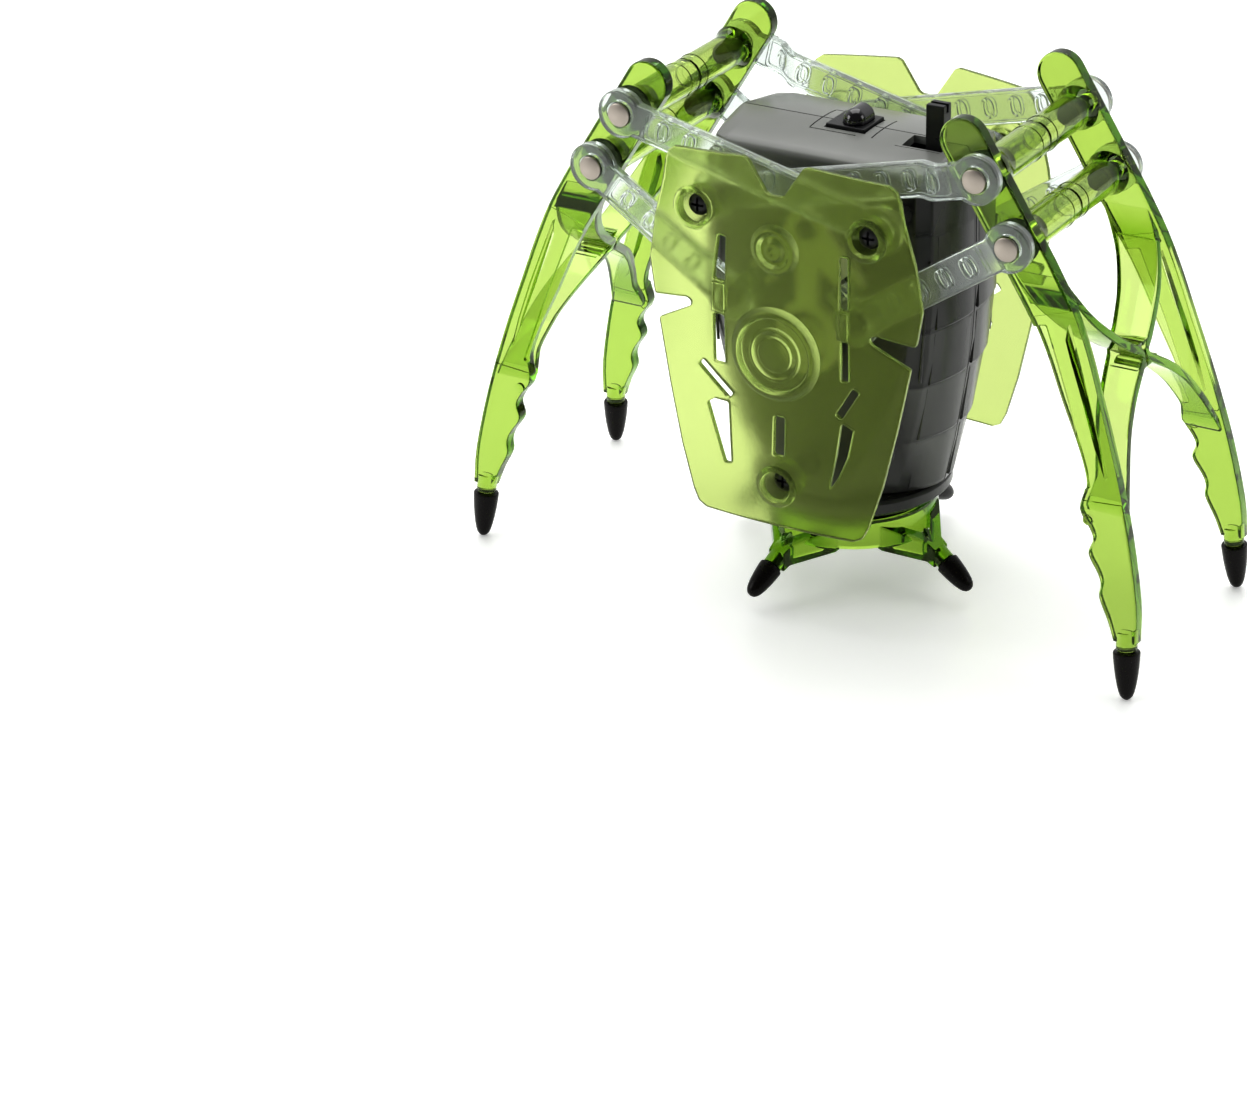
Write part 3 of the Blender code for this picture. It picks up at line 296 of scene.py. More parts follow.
LOOKS = {
    "lime": surface(
        "look_lime", (0.88, 0.90, 0.74), 0.03, second=(0.84, 0.87, 0.68), clear=1.0, ior=1.53,
        absorb=(0.71, 0.83, 0.29), density=880.0, wave=60.0, wave_depth=0.00002, rough_spread=0.02,
        grain_depth=0.0000005, gloss_tint=(0.70, 0.95, 0.40)),
    "plate": surface(
        "look_plate", (0.63, 0.73, 0.29), 0.22, second=(0.60, 0.70, 0.26), clear=0.95,
        absorb=(0.93, 0.97, 0.86), density=700.0, wave=50.0, wave_depth=0.00001,
        grain_depth=0.0000008, rough_spread=0.03, specular=0.06, gloss_tint=(0.66, 0.86, 0.16)),
    "frost": surface(
        "look_frost", (0.90, 0.94, 0.92), 0.15, second=(0.86, 0.91, 0.89), clear=0.90,
        absorb=(0.80, 0.86, 0.84), density=120.0, wave=120.0, wave_depth=0.00001,
        grain_depth=0.0000001, rough_spread=0.02),
    # The smoked housing carries painted light and shade by place, from the tables above.
    "smoke": surface(
        "look_smoke", (0.28, 0.285, 0.27), 0.24, second=(0.16, 0.165, 0.152), wave=55.0,
        wave_depth=0.00001, grain_depth=0.00000008, specular=0.32, stretch=(1.0, 1.0, 0.45),
        rough_spread=0.02, painted_light_stops=(SIDE_PAINTED_SHADE, FRONT_PAINTED_LIGHT, SIDE_MASK, ROOF_MASK)),
    "hub": surface(
        "look_hub", (0.86, 0.92, 0.60), 0.05, second=(0.80, 0.87, 0.54), clear=1.0, ior=1.53,
        absorb=(0.67, 0.81, 0.20), density=1300.0, wave=80.0, wave_depth=0.00002,
        rough_spread=0.03, grain_depth=0.0000005, gloss_tint=(0.62, 0.90, 0.30)),
    "pin_metal": surface(
        "look_pin", (0.42, 0.375, 0.33), 0.36, second=(0.36, 0.32, 0.28), metallic=1.0,
        grain=1400.0, grain_depth=0.000004, stretch=(1, 1, 6), length_stops=PIN_SHADES),
    "steel": surface(
        "look_steel", (0.58, 0.59, 0.60), 0.30, metallic=1.0, grain=1400.0, grain_depth=0.000004,
        stretch=(1, 1, 8)),
    "black": surface(
        "look_black", (0.006, 0.006, 0.007), 0.32, second=(0.009, 0.009, 0.010),
        grain_depth=0.000003, specular=0.3),
    "lens": surface(
        "look_lens", (0.004, 0.003, 0.006), 0.06, second=(0.007, 0.005, 0.009), coat=0.5,
        grain_depth=0.0000005, rough_spread=0.02),
    "rubber": surface(
        "look_rubber", (0.004, 0.0028, 0.0024), 0.30, second=(0.004, 0.003, 0.0026), grain=2200.0,
        grain_depth=0.000003, specular=0.14),
    "nylon": surface(
        "look_nylon", (0.72, 0.71, 0.64), 0.48, second=(0.66, 0.65, 0.58), grain_depth=0.000003),
    "board": surface(
        "look_board", (0.02, 0.13, 0.05), 0.40, second=(0.03, 0.18, 0.07), grain=1800.0,
        wave=400.0, grain_depth=0.000003),
}


# ---- mesh tools

def metres(point):
    return Vector(point) * MM


def placed(name, mesh):
    obj = bpy.data.objects.new(name, mesh)
    scene.collection.objects.link(obj)
    return obj


def from_bmesh(name, bm):
    bmesh.ops.remove_doubles(bm, verts=bm.verts[:], dist=1e-6)
    bmesh.ops.recalc_face_normals(bm, faces=bm.faces[:])
    mesh = bpy.data.meshes.new(name)
    bm.to_mesh(mesh)
    bm.free()
    return placed(name, mesh)


def baked(source, name):
    """A plain mesh object from the evaluated source, which is removed with its tools."""
    bpy.context.view_layer.update()
    tools = [m.object for m in source.modifiers if m.type == "BOOLEAN"]
    evaluated = source.evaluated_get(bpy.context.evaluated_depsgraph_get())
    mesh = bpy.data.meshes.new_from_object(evaluated)
    mesh.transform(source.matrix_world)
    for obj in [source, *tools]:
        bpy.data.objects.remove(obj, do_unlink=True)
    bm = bmesh.new()
    bm.from_mesh(mesh)
    bpy.data.meshes.remove(mesh)
    return from_bmesh(name, bm)


def boolean(target, operation, tools):
    for tool in tools:
        modifier = target.modifiers.new("join", "BOOLEAN")
        modifier.operation = operation
        modifier.solver = "EXACT"
        modifier.object = tool
    return baked(target, target.name)


def join(target, *tools):
    return boolean(target, "UNION", tools)


def cut(target, *tools):
    return boolean(target, "DIFFERENCE", tools)


def block(name, low, high, radius=0.0, segments=3):
    """A box with rounded edges."""
    bm = bmesh.new()
    bmesh.ops.create_cube(bm, size=1.0)
    bmesh.ops.scale(bm, vec=metres(high) - metres(low), verts=bm.verts[:])
    bmesh.ops.translate(bm, vec=(metres(low) + metres(high)) / 2, verts=bm.verts[:])
    if radius:
        bmesh.ops.bevel(bm, geom=bm.edges[:], offset=radius * MM, segments=segments,
                        affect="EDGES", profile=0.5)
    return from_bmesh(name, bm)


def arc(centre, radius, start, end, steps):
    out = []
    for step in range(steps + 1):
        angle = math.radians(start + (end - start) * step / steps)
        out.append((centre[0] + radius * math.cos(angle), centre[1] + radius * math.sin(angle)))
    return out


def smooth_path(points, steps):
    """Points along a Catmull-Rom curve through the given points."""
    first = tuple(2 * a - b for a, b in zip(points[0], points[1]))
    last = tuple(2 * a - b for a, b in zip(points[-1], points[-2]))
    padded = [first, *points, last]
    out = []
    for a, b, c, d in zip(padded, padded[1:], padded[2:], padded[3:]):
        for step in range(steps):
            t = step / steps
            out.append(tuple(
                0.5 * (2 * q + (r - p) * t + (2 * p - 5 * q + 4 * r - s) * t**2
                       + (3 * q - p - 3 * r + s) * t**3)
                for p, q, r, s in zip(a, b, c, d)
            ))
    out.append(tuple(points[-1]))
    return out


def rounded(loop, radius, steps=4, closed=True):
    """A polygon whose corners are turned into short curves of about the given radius."""
    out = []
    count = len(loop)
    for i, corner in enumerate(loop):
        if not closed and i in (0, count - 1):
            out.append(corner)
            continue
        c = Vector(corner)
        a = Vector(loop[i - 1]) - c
        b = Vector(loop[(i + 1) % count]) - c
        half = a.angle(b, math.pi) / 2
        reach = min(radius / max(math.tan(half), 0.2), a.length * 0.45, b.length * 0.45)
        start = c + a.normalized() * reach
        end = c + b.normalized() * reach
        for step in range(steps + 1):
            t = step / steps
            p = start * (1 - t) ** 2 + c * 2 * t * (1 - t) + end * t**2
            out.append(tuple(p))
    return out


def mirrored(loop, side):
    return [(side * x, z) for x, z in loop]


def slot(a, b, width_a, width_b=None):
    (ux, uz), _ = toward(a, b)
    wa = width_a / 2
    wb = (width_b or width_a) / 2
    return [(a[0] - uz * wa, a[1] + ux * wa), (b[0] - uz * wb, b[1] + ux * wb),
            (b[0] + uz * wb, b[1] - ux * wb), (a[0] + uz * wa, a[1] - ux * wa)]


def toward(a, b):
    length = math.hypot(b[0] - a[0], b[1] - a[1])
    return ((b[0] - a[0]) / length, (b[1] - a[1]) / length), length


def interpolate(table, z):
    for (a, za), (b, zb) in zip(table, table[1:]):
        if z >= zb:
            share = (za - z) / (za - zb)
            return a + (b - a) * max(0.0, share)
    return table[-1][0]


def flat(name, loops, near, far, bevel=0.0, rings=3):
    """Closed outlines of (x, z) points, holes among them, made thick along Y with round edges."""
    curve = bpy.data.curves.new(name, "CURVE")
    curve.dimensions = "2D"
    curve.fill_mode = "BOTH"
    curve.extrude = (abs(far - near) / 2 - bevel) * MM
    curve.bevel_depth = bevel * MM
    curve.bevel_resolution = rings
    curve.offset = -bevel * MM
    for loop in loops:
        spline = curve.splines.new("POLY")
        spline.points.add(len(loop) - 1)
        for point, (x, z) in zip(spline.points, loop):
            point.co = (x * MM, z * MM, 0.0, 1.0)
        spline.use_cyclic_u = True
    obj = placed(name, curve)
    obj.matrix_world = (Matrix.Translation((0, (near + far) / 2 * MM, 0))
                        @ Matrix.Rotation(math.pi / 2, 4, "X"))
    return baked(obj, name)


def turned(name, profile, base, direction, steps=40, corner=0.0):
    """A profile of (radius, height) points turned about an axis, its corners rounded on request."""
    loop = profile[0][0] > 0
    points = rounded(profile, corner, 3, closed=loop) if corner else list(profile)
    mesh = bpy.data.meshes.new(name)
    edges = [(i, i + 1) for i in range(len(points) - 1)]
    if loop:
        edges.append((len(points) - 1, 0))
    mesh.from_pydata([(r * MM, 0.0, h * MM) for r, h in points], edges, [])
    obj = placed(name, mesh)
    screw = obj.modifiers.new("turn", "SCREW")
    screw.steps = screw.render_steps = steps
    screw.use_merge_vertices = True
    screw.merge_threshold = 1e-5
    turn = Vector(direction).to_track_quat("Z", "Y").to_matrix().to_4x4()
    obj.matrix_world = Matrix.Translation(metres(base)) @ turn
    return baked(obj, name)


def turned_in_y(name, profile, xz, steps):
    return turned(name, profile, (xz[0], 0, xz[1]), (0, 1, 0), steps)


def rod(name, radius, start, end, corner=0.0, steps=32):
    length = (Vector(end) - Vector(start)).length
    profile = [(0, 0), (radius, 0), (radius, length), (0, length)]
    return turned(name, profile, start, Vector(end) - Vector(start), steps, corner)


def across(name, radius, xz, near, far, corner=0.0, steps=32):
    return rod(name, radius, (xz[0], near, xz[1]), (xz[0], far, xz[1]), corner, steps)


def loft(name, rings):
    bm = bmesh.new()
    made = [[bm.verts.new(metres(point)) for point in ring] for ring in rings]
    count = len(rings[0])
    for low, high in zip(made, made[1:]):
        for i in range(count):
            j = (i + 1) % count
            bm.faces.new((low[i], low[j], high[j], high[i]))
    bm.faces.new(made[0])
    bm.faces.new(made[-1])
    return from_bmesh(name, bm)


def groove(name, outline, tip, brim, floor):
    """A cutter for a groove whose sides slope in to a line from the first point to the tip."""
    floor_share = 0.12
    start = Vector(outline[0])
    along = (Vector(outline[tip]) - start).normalized()
    line = [start + along * (Vector(point) - start).dot(along) for point in outline]
    narrow = [centre.lerp(Vector(point), floor_share) for centre, point in zip(line, outline)]
    return loft(name, [[(x, OUTSIDE, z) for x, z in outline], [(x, brim, z) for x, z in outline],
                       [(x, floor, z) for x, z in narrow]])


def sliced(obj, normal, cuts):
    """Cuts the mesh across at each distance along normal, so that it can bend there."""
    bm = bmesh.new()
    bm.from_mesh(obj.data)
    for at in cuts:
        bmesh.ops.bisect_plane(bm, geom=bm.verts[:] + bm.edges[:] + bm.faces[:], dist=1e-7,
                               plane_co=Vector(normal) * at * MM, plane_no=normal)
    bm.to_mesh(obj.data)
    bm.free()
    return obj


def bend(obj, move):
    """Moves each vertex, given and returned in millimetres."""
    for vert in obj.data.vertices:
        vert.co = metres(move(*(vert.co / MM)))
    return obj


def reflected(obj, name, sx, sy):
    """A copy of a mesh, mirrored in X where sx is -1 and in Y where sy is -1."""
    mesh = obj.data.copy()
    mesh.transform(Matrix.Diagonal((sx, sy, 1, 1)))
    if sx * sy < 0:
        mesh.flip_normals()
    return placed(name, mesh)


def flip_in_y(obj):
    """Mirrors a mesh in Y, in its place."""
    obj.data.transform(Matrix.Diagonal((1, -1, 1, 1)))
    obj.data.flip_normals()


SHARP_ANGLE = math.radians(34)


def show(obj, look, *stands_for, record_slot=None):
    """Finishes a piece: its material, its shading, what it stands for and the body it rides."""
    obj.data.materials.clear()
    obj.data.materials.append(LOOKS[look])
    obj.data.shade_smooth()
    obj.data.set_sharp_from_angle(angle=SHARP_ANGLE)
    weighted = obj.modifiers.new("weighted", "WEIGHTED_NORMAL")
    weighted.keep_sharp = True
    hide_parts(*stands_for)
    record_slot or look
    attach(obj, BODY_OF[stands_for[0]])
    return obj


# ---- legs

WEB_CORNER = 0.42
WEB_INSET = 0.5
ROOT_INSET = 0.7
ROOT_PATH = ((18.5, 75.7), (18.1, 74.0), (17.5, 72.4), (16.5, 70.5))
# The step, the clear strip and the groove in a leg's outer face.
SHALLOW_OUTLINE = ((42.0, 67.4), (60.0, 73.1), (72.0, 60.0), (72.0, 37.7), (52.0, 36.2))
STRIP_OUTLINE = (
    (47.9, 67.3), (49.3, 67.6), (54.6, 54.0), (59.9, 38.9), (57.0, 38.3), (50.5, 53.0),
    (44.0, 66.0),
)
SPEAR_OUTLINE = (
    (53.5, 68.2), (55.0, 64.5), (58.6, 55.0), (61.0, 47.5), (62.6, 41.2), (60.2, 46.6),
    (57.4, 54.3), (54.4, 62.0), (53.2, 65.5),
)
SPEAR_TIP = 4
SHALLOW_LEVEL, STRIP_LEVEL = 1.15, 0.35
SPEAR_BRIM, SPEAR_FLOOR = 1.2, -0.75
# Turned profiles are (radius, place along the axis).
TUBE_PROFILE = (
    (0, HALF_SEAM), (3.25, HALF_SEAM), (3.4, 0.35), (3.4, 2.6), (3.52, 2.75), (3.52, 3.15),
    (3.4, 3.3), (3.4, 14.4), (3.5, 15.6), (3.75, 16.7), (4.1, 17.5), (4.35, 18.3),
    (4.35, 19.2), (0, 19.2),
)
TIP_PROFILE = (
    (0, 3.5), (1.45, 3.5), (1.45, 0.15), (1.6, 0), (2.25, 0), (2.42, 0.08), (2.5, 0.3),
    (2.44, 1.4), (2.28, 3.2), (2.05, 5.0), (1.78, 6.6), (1.5, 7.8), (1.2, 8.6), (0.8, 9.1),
    (0.4, 9.33),
)
PIP_AT = (60.2, 33.4)


def splayed(z):
    """|y| of a leg's mid plane: upright at the top, then a soft bend, then a straight splay."""
    slope = (FOOT_TIP[1] - SPLAY_MIDDLE) / SPLAY_START
    drop = SPLAY_START - z
    if drop <= -SPLAY_BLEND:
        return SPLAY_MIDDLE
    if drop >= SPLAY_BLEND:
        return SPLAY_MIDDLE + slope * drop
    return SPLAY_MIDDLE + slope * (drop + SPLAY_BLEND) ** 2 / (4 * SPLAY_BLEND)


def web_solid():
    """The curved strip that runs from the leg to the middle of the robot and back."""
    lean = math.radians(BAR_LEAN)
    half_x = BAR_RADIUS * math.cos(lean)
    half_z = BAR_RADIUS * math.sin(lean)
    inner = [(BAR_TOP[0] - half_x, BAR_TOP[1] - half_z), *LEG_INNER_EDGE]
    outer = [(BAR_TOP[0] + half_x, BAR_TOP[1] + half_z), *reversed(LEG_OUTER_EDGE)]
    path = smooth_path(WEB_PATH, 4)
    angles = [math.radians(a) for a in (0, 30, 60, 90)]
    around = [(inner, 1, 1, angles), (outer, -1, 1, angles[::-1]),
              (outer, -1, -1, angles), (inner, 1, -1, angles[::-1])]
    rings = []
    for index, (y, z) in enumerate(path):
        y0, z0 = path[max(0, index - 1)]
        y1, z1 = path[min(len(path) - 1, index + 1)]
        length = math.hypot(y1 - y0, z1 - z0)
        ny, nz = -(z1 - z0) / length, (y1 - y0) / length
        ring = []
        for edge, inward, sign, turns in around:
            for a in turns:
                off = sign * (WEB_HALF - WEB_CORNER * (1 - math.sin(a)))
                zz = z + off * nz
                x = interpolate(edge, zz)
                x += inward * (WEB_INSET + WEB_CORNER * (1 - math.cos(a)))
                ring.append((x, max(HALF_SEAM, y + off * ny), zz))
        rings.append(ring)
    return loft("web", rings)


def web_root():
    """Fills the notch between the top of the web and the leg."""
    outer = list(reversed(LEG_OUTER_EDGE))
    rings = []
    for y, z in ROOT_PATH:
        left = interpolate(LEG_INNER_EDGE, z) + ROOT_INSET
        right = interpolate(outer, z) - ROOT_INSET
        far = splayed(z)
        rings.append([(left, y, z), (right, y, z), (right, far, z), (left, far, z)])
    return loft("web_root", rings)


def tip_point(height):
    """A point on the leaning axis of a leg's tip."""
    share = height / 10.0
    return Vector((FOOT_TIP[0] - 0.75 * share, FOOT_TIP[1] - 0.85 * share, height))


def leg_solid():
    outline = (arc(BAR_TOP, BAR_RADIUS, BAR_LEAN, 180 + BAR_LEAN, 20)
               + smooth_path(LEG_INNER_EDGE, 4) + smooth_path(LEG_OUTER_EDGE, 3))
    leg = flat("leg", [outline], -LEG_HALF, LEG_HALF, 0.5)
    shallow = flat("shallow", [SHALLOW_OUTLINE], SHALLOW_LEVEL, OUTSIDE)
    strip = flat("strip", [rounded(STRIP_OUTLINE, 0.5)], STRIP_LEVEL, OUTSIDE)
    spear = groove("spear", SPEAR_OUTLINE, SPEAR_TIP, SPEAR_BRIM, SPEAR_FLOOR)
    leg = cut(leg, shallow, strip, spear)
    sliced(leg, (0, 0, 1), [SPLAY_START + SPLAY_BLEND * i / 3 for i in range(-3, 4)])
    bend(leg, lambda x, y, z: (x, splayed(z) + y, z))
    tubes = [turned_in_y("tube", TUBE_PROFILE, xz, 64) for xz in (PIN_UPPER, PIN_LOWER)]
    ribs = [block("rib_upper", (53.0, 0.15, 57.5), (58.9, 3.7, 58.5), 0.25, 2),
            block("rib_lower", (54.4, 0.15, 53.7), (60.0, 4.4, 54.8), 0.25, 2)]
    neck = rod("neck", 1.95, tip_point(13.2), tip_point(9.65), 0.25)
    core = rod("core", 1.3, tip_point(11.0), tip_point(6.0))
    pip_y = splayed(PIP_AT[1])
    pip = across("pip", 1.0, PIP_AT, pip_y, pip_y + 2.0, 0.3)
    leg = join(leg, web_solid(), web_root(), *tubes, *ribs, neck, core, pip)
    bores = [across("bore", PIN_RADIUS + 0.1, xz, -1.0, LEG_FAR + 3, 0.0, 48)
             for xz in (PIN_UPPER, PIN_LOWER)]
    return cut(leg, *bores)


def tip_solid():
    """The rubber boot on a leg's tip, flat where it stands on the floor."""
    top, end = tip_point(9.3), tip_point(0.0)
    length = (end - top).length
    tip = turned("tip", [*TIP_PROFILE, (0, length)], top, end - top, 40)
    return bend(tip, lambda x, y, z: (x, y, 0.0 if z < 0.15 else z))


def pin_solid(xz):
    return turned_in_y("pin", [
        (0, PIN_INNER_END), (2.0, PIN_INNER_END), (PIN_RADIUS, PIN_INNER_END + 0.3),
        (PIN_RADIUS, PIN_END - 0.28), (2.22, PIN_END - 0.1), (2.05, PIN_END), (0, PIN_END),
    ], xz, 48)


SIDES = (("right", 1), ("left", -1))
FACES = (("front", -1), ("back", 1))
leg_base = leg_solid()
tip_base = tip_solid()
pin_bases = {"upper": pin_solid(PIN_UPPER), "lower": pin_solid(PIN_LOWER)}


# ---- links

# Distances along a link, from the centre of an eye to its sunk part and from the pin to the
# first rib, and the length at which a link would get its first rib.
EYE_TO_POCKET = 5.6
PIN_TO_RIB = 9.1
PLAIN_LENGTH = 16.5
RIB_PITCH = 5.7
POCKET_DEPTH = 0.5
RIM_WIDTH = 0.55
RIB_OUTSIDE = (4.1, 2.7)
RIB_INSIDE = (2.7, 1.3)
OVAL_POINTS = 20
OVAL_POWER = 0.7
JOGGLE_STEPS = 6
PEG_PLAY = 0.55


def oval(centre, along, length, width):
    """A stretched ring of points, its length at right angles to along."""
    ux, uz = along
    out = []
    for step in range(OVAL_POINTS):
        a = 2 * math.pi * step / OVAL_POINTS
        c = math.copysign(abs(math.cos(a)) ** OVAL_POWER, math.cos(a)) * width / 2
        s = math.copysign(abs(math.sin(a)) ** OVAL_POWER, math.sin(a)) * length / 2
        out.append((centre[0] + ux * c - uz * s, centre[1] + uz * c + ux * s))
    return out


def link_solid(name, pin, post, hole, crossing=False):
    """A bar between two eyes, sunk between its rims, with a row of raised oval ribs."""
    (ux, uz), length = toward(post, pin)
    heading = math.degrees(math.atan2(uz, ux))
    flare = math.degrees(math.asin(LINK_HALF_WIDTH / EYE_RADIUS))
    outline = (arc(pin, EYE_RADIUS, heading - 180 + flare, heading + 180 - flare, 28)
               + arc(post, EYE_RADIUS, heading + flare, heading + 360 - flare, 28))
    holes = [arc(pin, PIN_RADIUS + 0.08, 0, 350, 35), arc(post, hole, 0, 350, 35)]
    bar = flat(name, [outline, *holes], LINK_NEAR, LINK_FAR, 0.38)
    near_end = (post[0] + ux * EYE_TO_POCKET, post[1] + uz * EYE_TO_POCKET)
    far_end = (pin[0] - ux * EYE_TO_POCKET, pin[1] - uz * EYE_TO_POCKET)
    pocket = rounded(slot(near_end, far_end, 2 * (LINK_HALF_WIDTH - RIM_WIDTH)), 1.0)
    bar = cut(bar, flat("pocket_out", [pocket], LINK_FAR - POCKET_DEPTH, LINK_FAR + 2),
              flat("pocket_in", [pocket], LINK_NEAR - 2, LINK_NEAR + POCKET_DEPTH))
    ribs = []
    count = int((length - PLAIN_LENGTH) / RIB_PITCH) + 1
    for index in range(count):
        at = PIN_TO_RIB + RIB_PITCH * index
        middle = (pin[0] - ux * at, pin[1] - uz * at)
        ribs.append(flat("rib", [oval(middle, (ux, uz), *RIB_OUTSIDE),
                                 oval(middle, (ux, uz), *RIB_INSIDE)],
                         LINK_NEAR + 0.04, LINK_FAR - 0.04, 0.26, 2))
    bar = join(bar, *ribs)
    if crossing:
        sliced(bar, (1, 0, 0), [JOGGLE[0] + (JOGGLE[1] - JOGGLE[0]) * i / JOGGLE_STEPS
                                for i in range(JOGGLE_STEPS + 1)])

        def step_out(x, y, z):
            share = min(1.0, max(0.0, (x - JOGGLE[0]) / (JOGGLE[1] - JOGGLE[0])))
            share = share * share * (3 - 2 * share)
            return x, y - LINK_DROP * (1 - share), z

        bend(bar, step_out)
    return bar


def lower_link_solid():
    """The link on the body peg, with a lug and a pin that the rocker's fork pushes."""
    bar = link_solid("lower_link", PIN_LOWER, LINK_PEG, PEG_RADIUS + PEG_PLAY)
    (ux, uz), _ = toward(LINK_PEG, ROCKER_PIVOT)
    tail = (LINK_PEG[0] + ux * TAIL_LENGTH, LINK_PEG[1] + uz * TAIL_LENGTH)
    start = (LINK_PEG[0] + ux * 3.4, LINK_PEG[1] + uz * 3.4)
    lug = flat("lug", [rounded(slot(start, (tail[0] + ux * 1.2, tail[1] + uz * 1.2), 3.6, 3.0),
                               0.8)], LINK_NEAR + 0.1, LINK_FAR - 0.1, 0.2)
    return join(bar, lug, across("tail_pin", 1.0, tail, 16.7, LINK_NEAR + 1.0, 0.15))


far_post = (-SCREW_POST[0], SCREW_POST[1])
straight_link = link_solid("upper_link", PIN_UPPER, far_post, POST_RADIUS + GAP)
crossing_link = link_solid("crossing_link", PIN_UPPER, far_post, POST_RADIUS + GAP, True)
lower_link = lower_link_solid()

for side_name, side in SIDES:
    for face_name, face in FACES:
        upper_link = crossing_link if side * face < 0 else straight_link
        for kind, base, look in (
            ("leg", leg_base, "lime"),
            ("tip", tip_base, "rubber"),
            ("upper_link", upper_link, "frost"),
            ("lower_link", lower_link, "frost"),
            ("upper_pin", pin_bases["upper"], "pin_metal"),
            ("lower_pin", pin_bases["lower"], "pin_metal"),
        ):
            node = f"{side_name}_{kind}_{face_name}"
            show(reflected(base, f"look_{node}", side, face), look, node)
for base in (leg_base, tip_base, straight_link, crossing_link, lower_link, *pin_bases.values()):
    bpy.data.objects.remove(base, do_unlink=True)


# ---- cover plates

PLATE_SLOTS = (
    slot((-13.5, 76.6), (-13.5, 66.4), 1.6),
    slot((-13.7, 60.2), (-13.8, 52.4), 1.5),
    slot((-16.0, 51.0), (-12.6, 45.2), 1.5),
    [(-15.5, 43.0), (-13.2, 44.1), (-12.2, 37.0), (-10.7, 29.8), (-12.6, 33.0), (-14.4, 37.4)],
    slot((11.3, 76.3), (12.1, 67.4), 1.6, 2.5),
    slot((12.2, 60.7), (12.1, 51.0), 2.4),
    slot((9.7, 44.9), (16.4, 50.3), 1.6),
    slot((-0.7, 43.0), (-0.5, 35.0), 2.2),
    [(10.3, 43.5), (13.4, 43.5), (15.0, 42.4), (11.2, 31.0), (9.8, 31.2)],
)
CUP_RADIUS = 3.6
PLATE_EDGE = 0.32
# Rings on the plate's face, as (radius, height over the face).
SMALL_RING = (
    (5.0, -0.05), (4.7, 0.25), (4.2, 0.75), (3.8, 0.95), (3.35, 0.9), (3.0, 0.5), (2.75, 0.2),
    (2.2, 0.35), (1.75, 0.85), (1.2, 1.0), (0.6, 0.85), (0, 0.7),
)
LARGE_RING = (
    (9.3, -0.05), (9.0, 0.3), (8.5, 0.85), (8.1, 1.1), (7.6, 1.1), (7.25, 0.8), (7.0, 0.2),
    (6.6, 0.1), (5.4, 0.2), (5.1, 0.5), (4.7, 0.5), (4.3, 0.2), (3.6, 0.15), (3.35, 0.45),
    (3.1, 0.6), (0, 0.65),
)


def face_ring(name, centre, ring, steps):
    low = PLATE_FACE - PLATE_THICKNESS + 0.25
    profile = [(0, low), (ring[0][0], low), *((r, PLATE_FACE + h) for r, h in ring)]
    return turned_in_y(name, profile, centre, steps)


def plate_front(x):
    """|y| of the swept plate's face."""
    return PLATE_FACE - PLATE_SWEEP * (x / PLATE_HALF_WIDTH) ** 2


def plate_solid():
    outline = [*PLATE_RIGHT_EDGE, *mirrored(reversed(PLATE_RIGHT_EDGE), -1)]
    loops = [rounded(outline, 0.7)] + [rounded(loop, 0.45, 3) for loop in PLATE_SLOTS]
    plate = flat("plate", loops, PLATE_FACE - PLATE_THICKNESS, PLATE_FACE, PLATE_EDGE)
    sliced(plate, (1, 0, 0), [2.0 * i for i in range(-14, 15)])
    bend(plate, lambda x, y, z: (x, y - PLATE_SWEEP * (x / PLATE_HALF_WIDTH) ** 2, z))
    cups = []
    wells = []
    for x, z in (far_post, SCREW_POST, LOWER_POST):
        top = plate_front(x)
        cups.append(turned_in_y("cup", [
            (0, CUP_FLOOR), (CUP_RADIUS - 0.3, CUP_FLOOR), (CUP_RADIUS, CUP_FLOOR + 0.3),
            (CUP_RADIUS, top - 1.1), (4.3, top - 0.6), (4.3, top - 0.1), (4.05, top + 0.25),
            (3.7, top + 0.42), (3.2, top + 0.42), (0, top + 0.42),
        ], (x, z), 40))
        wells.append(turned_in_y("well", [
            (0, CUP_FLOOR + 1.0), (2.6, CUP_FLOOR + 1.0), (2.75, top - 0.5), (2.9, top + 0.1),
            (3.25, top + 0.6), (3.25, 34.0), (0, 34.0),
        ], (x, z), 40))
        wells.append(across("bore", SCREW_HOLE, (x, z), 23.0, 27.0, 0.0, 20))
    small = face_ring("small_ring", ROCKER_PIVOT, SMALL_RING, 48)
    large = face_ring("large_ring", CRANK_AXIS, LARGE_RING, 64)
    pads = [block("pad_left", (-14.6, 28.3, 60.6), (-12.3, plate_front(13.5) + 0.4, 66.0), 0.3),
            block("pad_right", (10.7, 28.3, 61.2), (13.6, plate_front(12.2) + 0.4, 67.0), 0.3)]
    plate = join(plate, *cups, small, large, *pads)
    return cut(plate, *wells)


plate_base = plate_solid()
for node, turn in (("back_plate", 1), ("front_plate", -1)):
    show(reflected(plate_base, f"look_{node}", turn, turn), "plate", node)
bpy.data.objects.remove(plate_base, do_unlink=True)


def screw_solid():
    head = CUP_FLOOR + 1.3
    screw = turned_in_y("screw", [
        (0, 18.0), (0.9, 18.0), (0.9, head), (2.2, head), (2.2, head + 1.1), (2.05, head + 1.5),
        (1.6, head + 1.8), (0.9, head + 1.95), (0, head + 2.0),
    ], (0, 0), 32)
    arms = [block("arm", (-1.3, head + 0.9, -0.25), (1.3, head + 3, 0.25)),
            block("arm", (-0.25, head + 0.9, -1.3), (0.25, head + 3, 1.3))]
    return cut(screw, *arms)


screw_base = screw_solid()
for face_name, face in FACES:
    for label, (x, z) in (("left", far_post), ("right", SCREW_POST), ("lower", LOWER_POST)):
        node = f"screw_{face_name}_{label}"
        piece = reflected(screw_base, f"look_{node}", 1, face)
        piece.data.transform(Matrix.Translation(metres((x, 0, z))))
        show(piece, "black", node)
bpy.data.objects.remove(screw_base, do_unlink=True)


# ---- housing

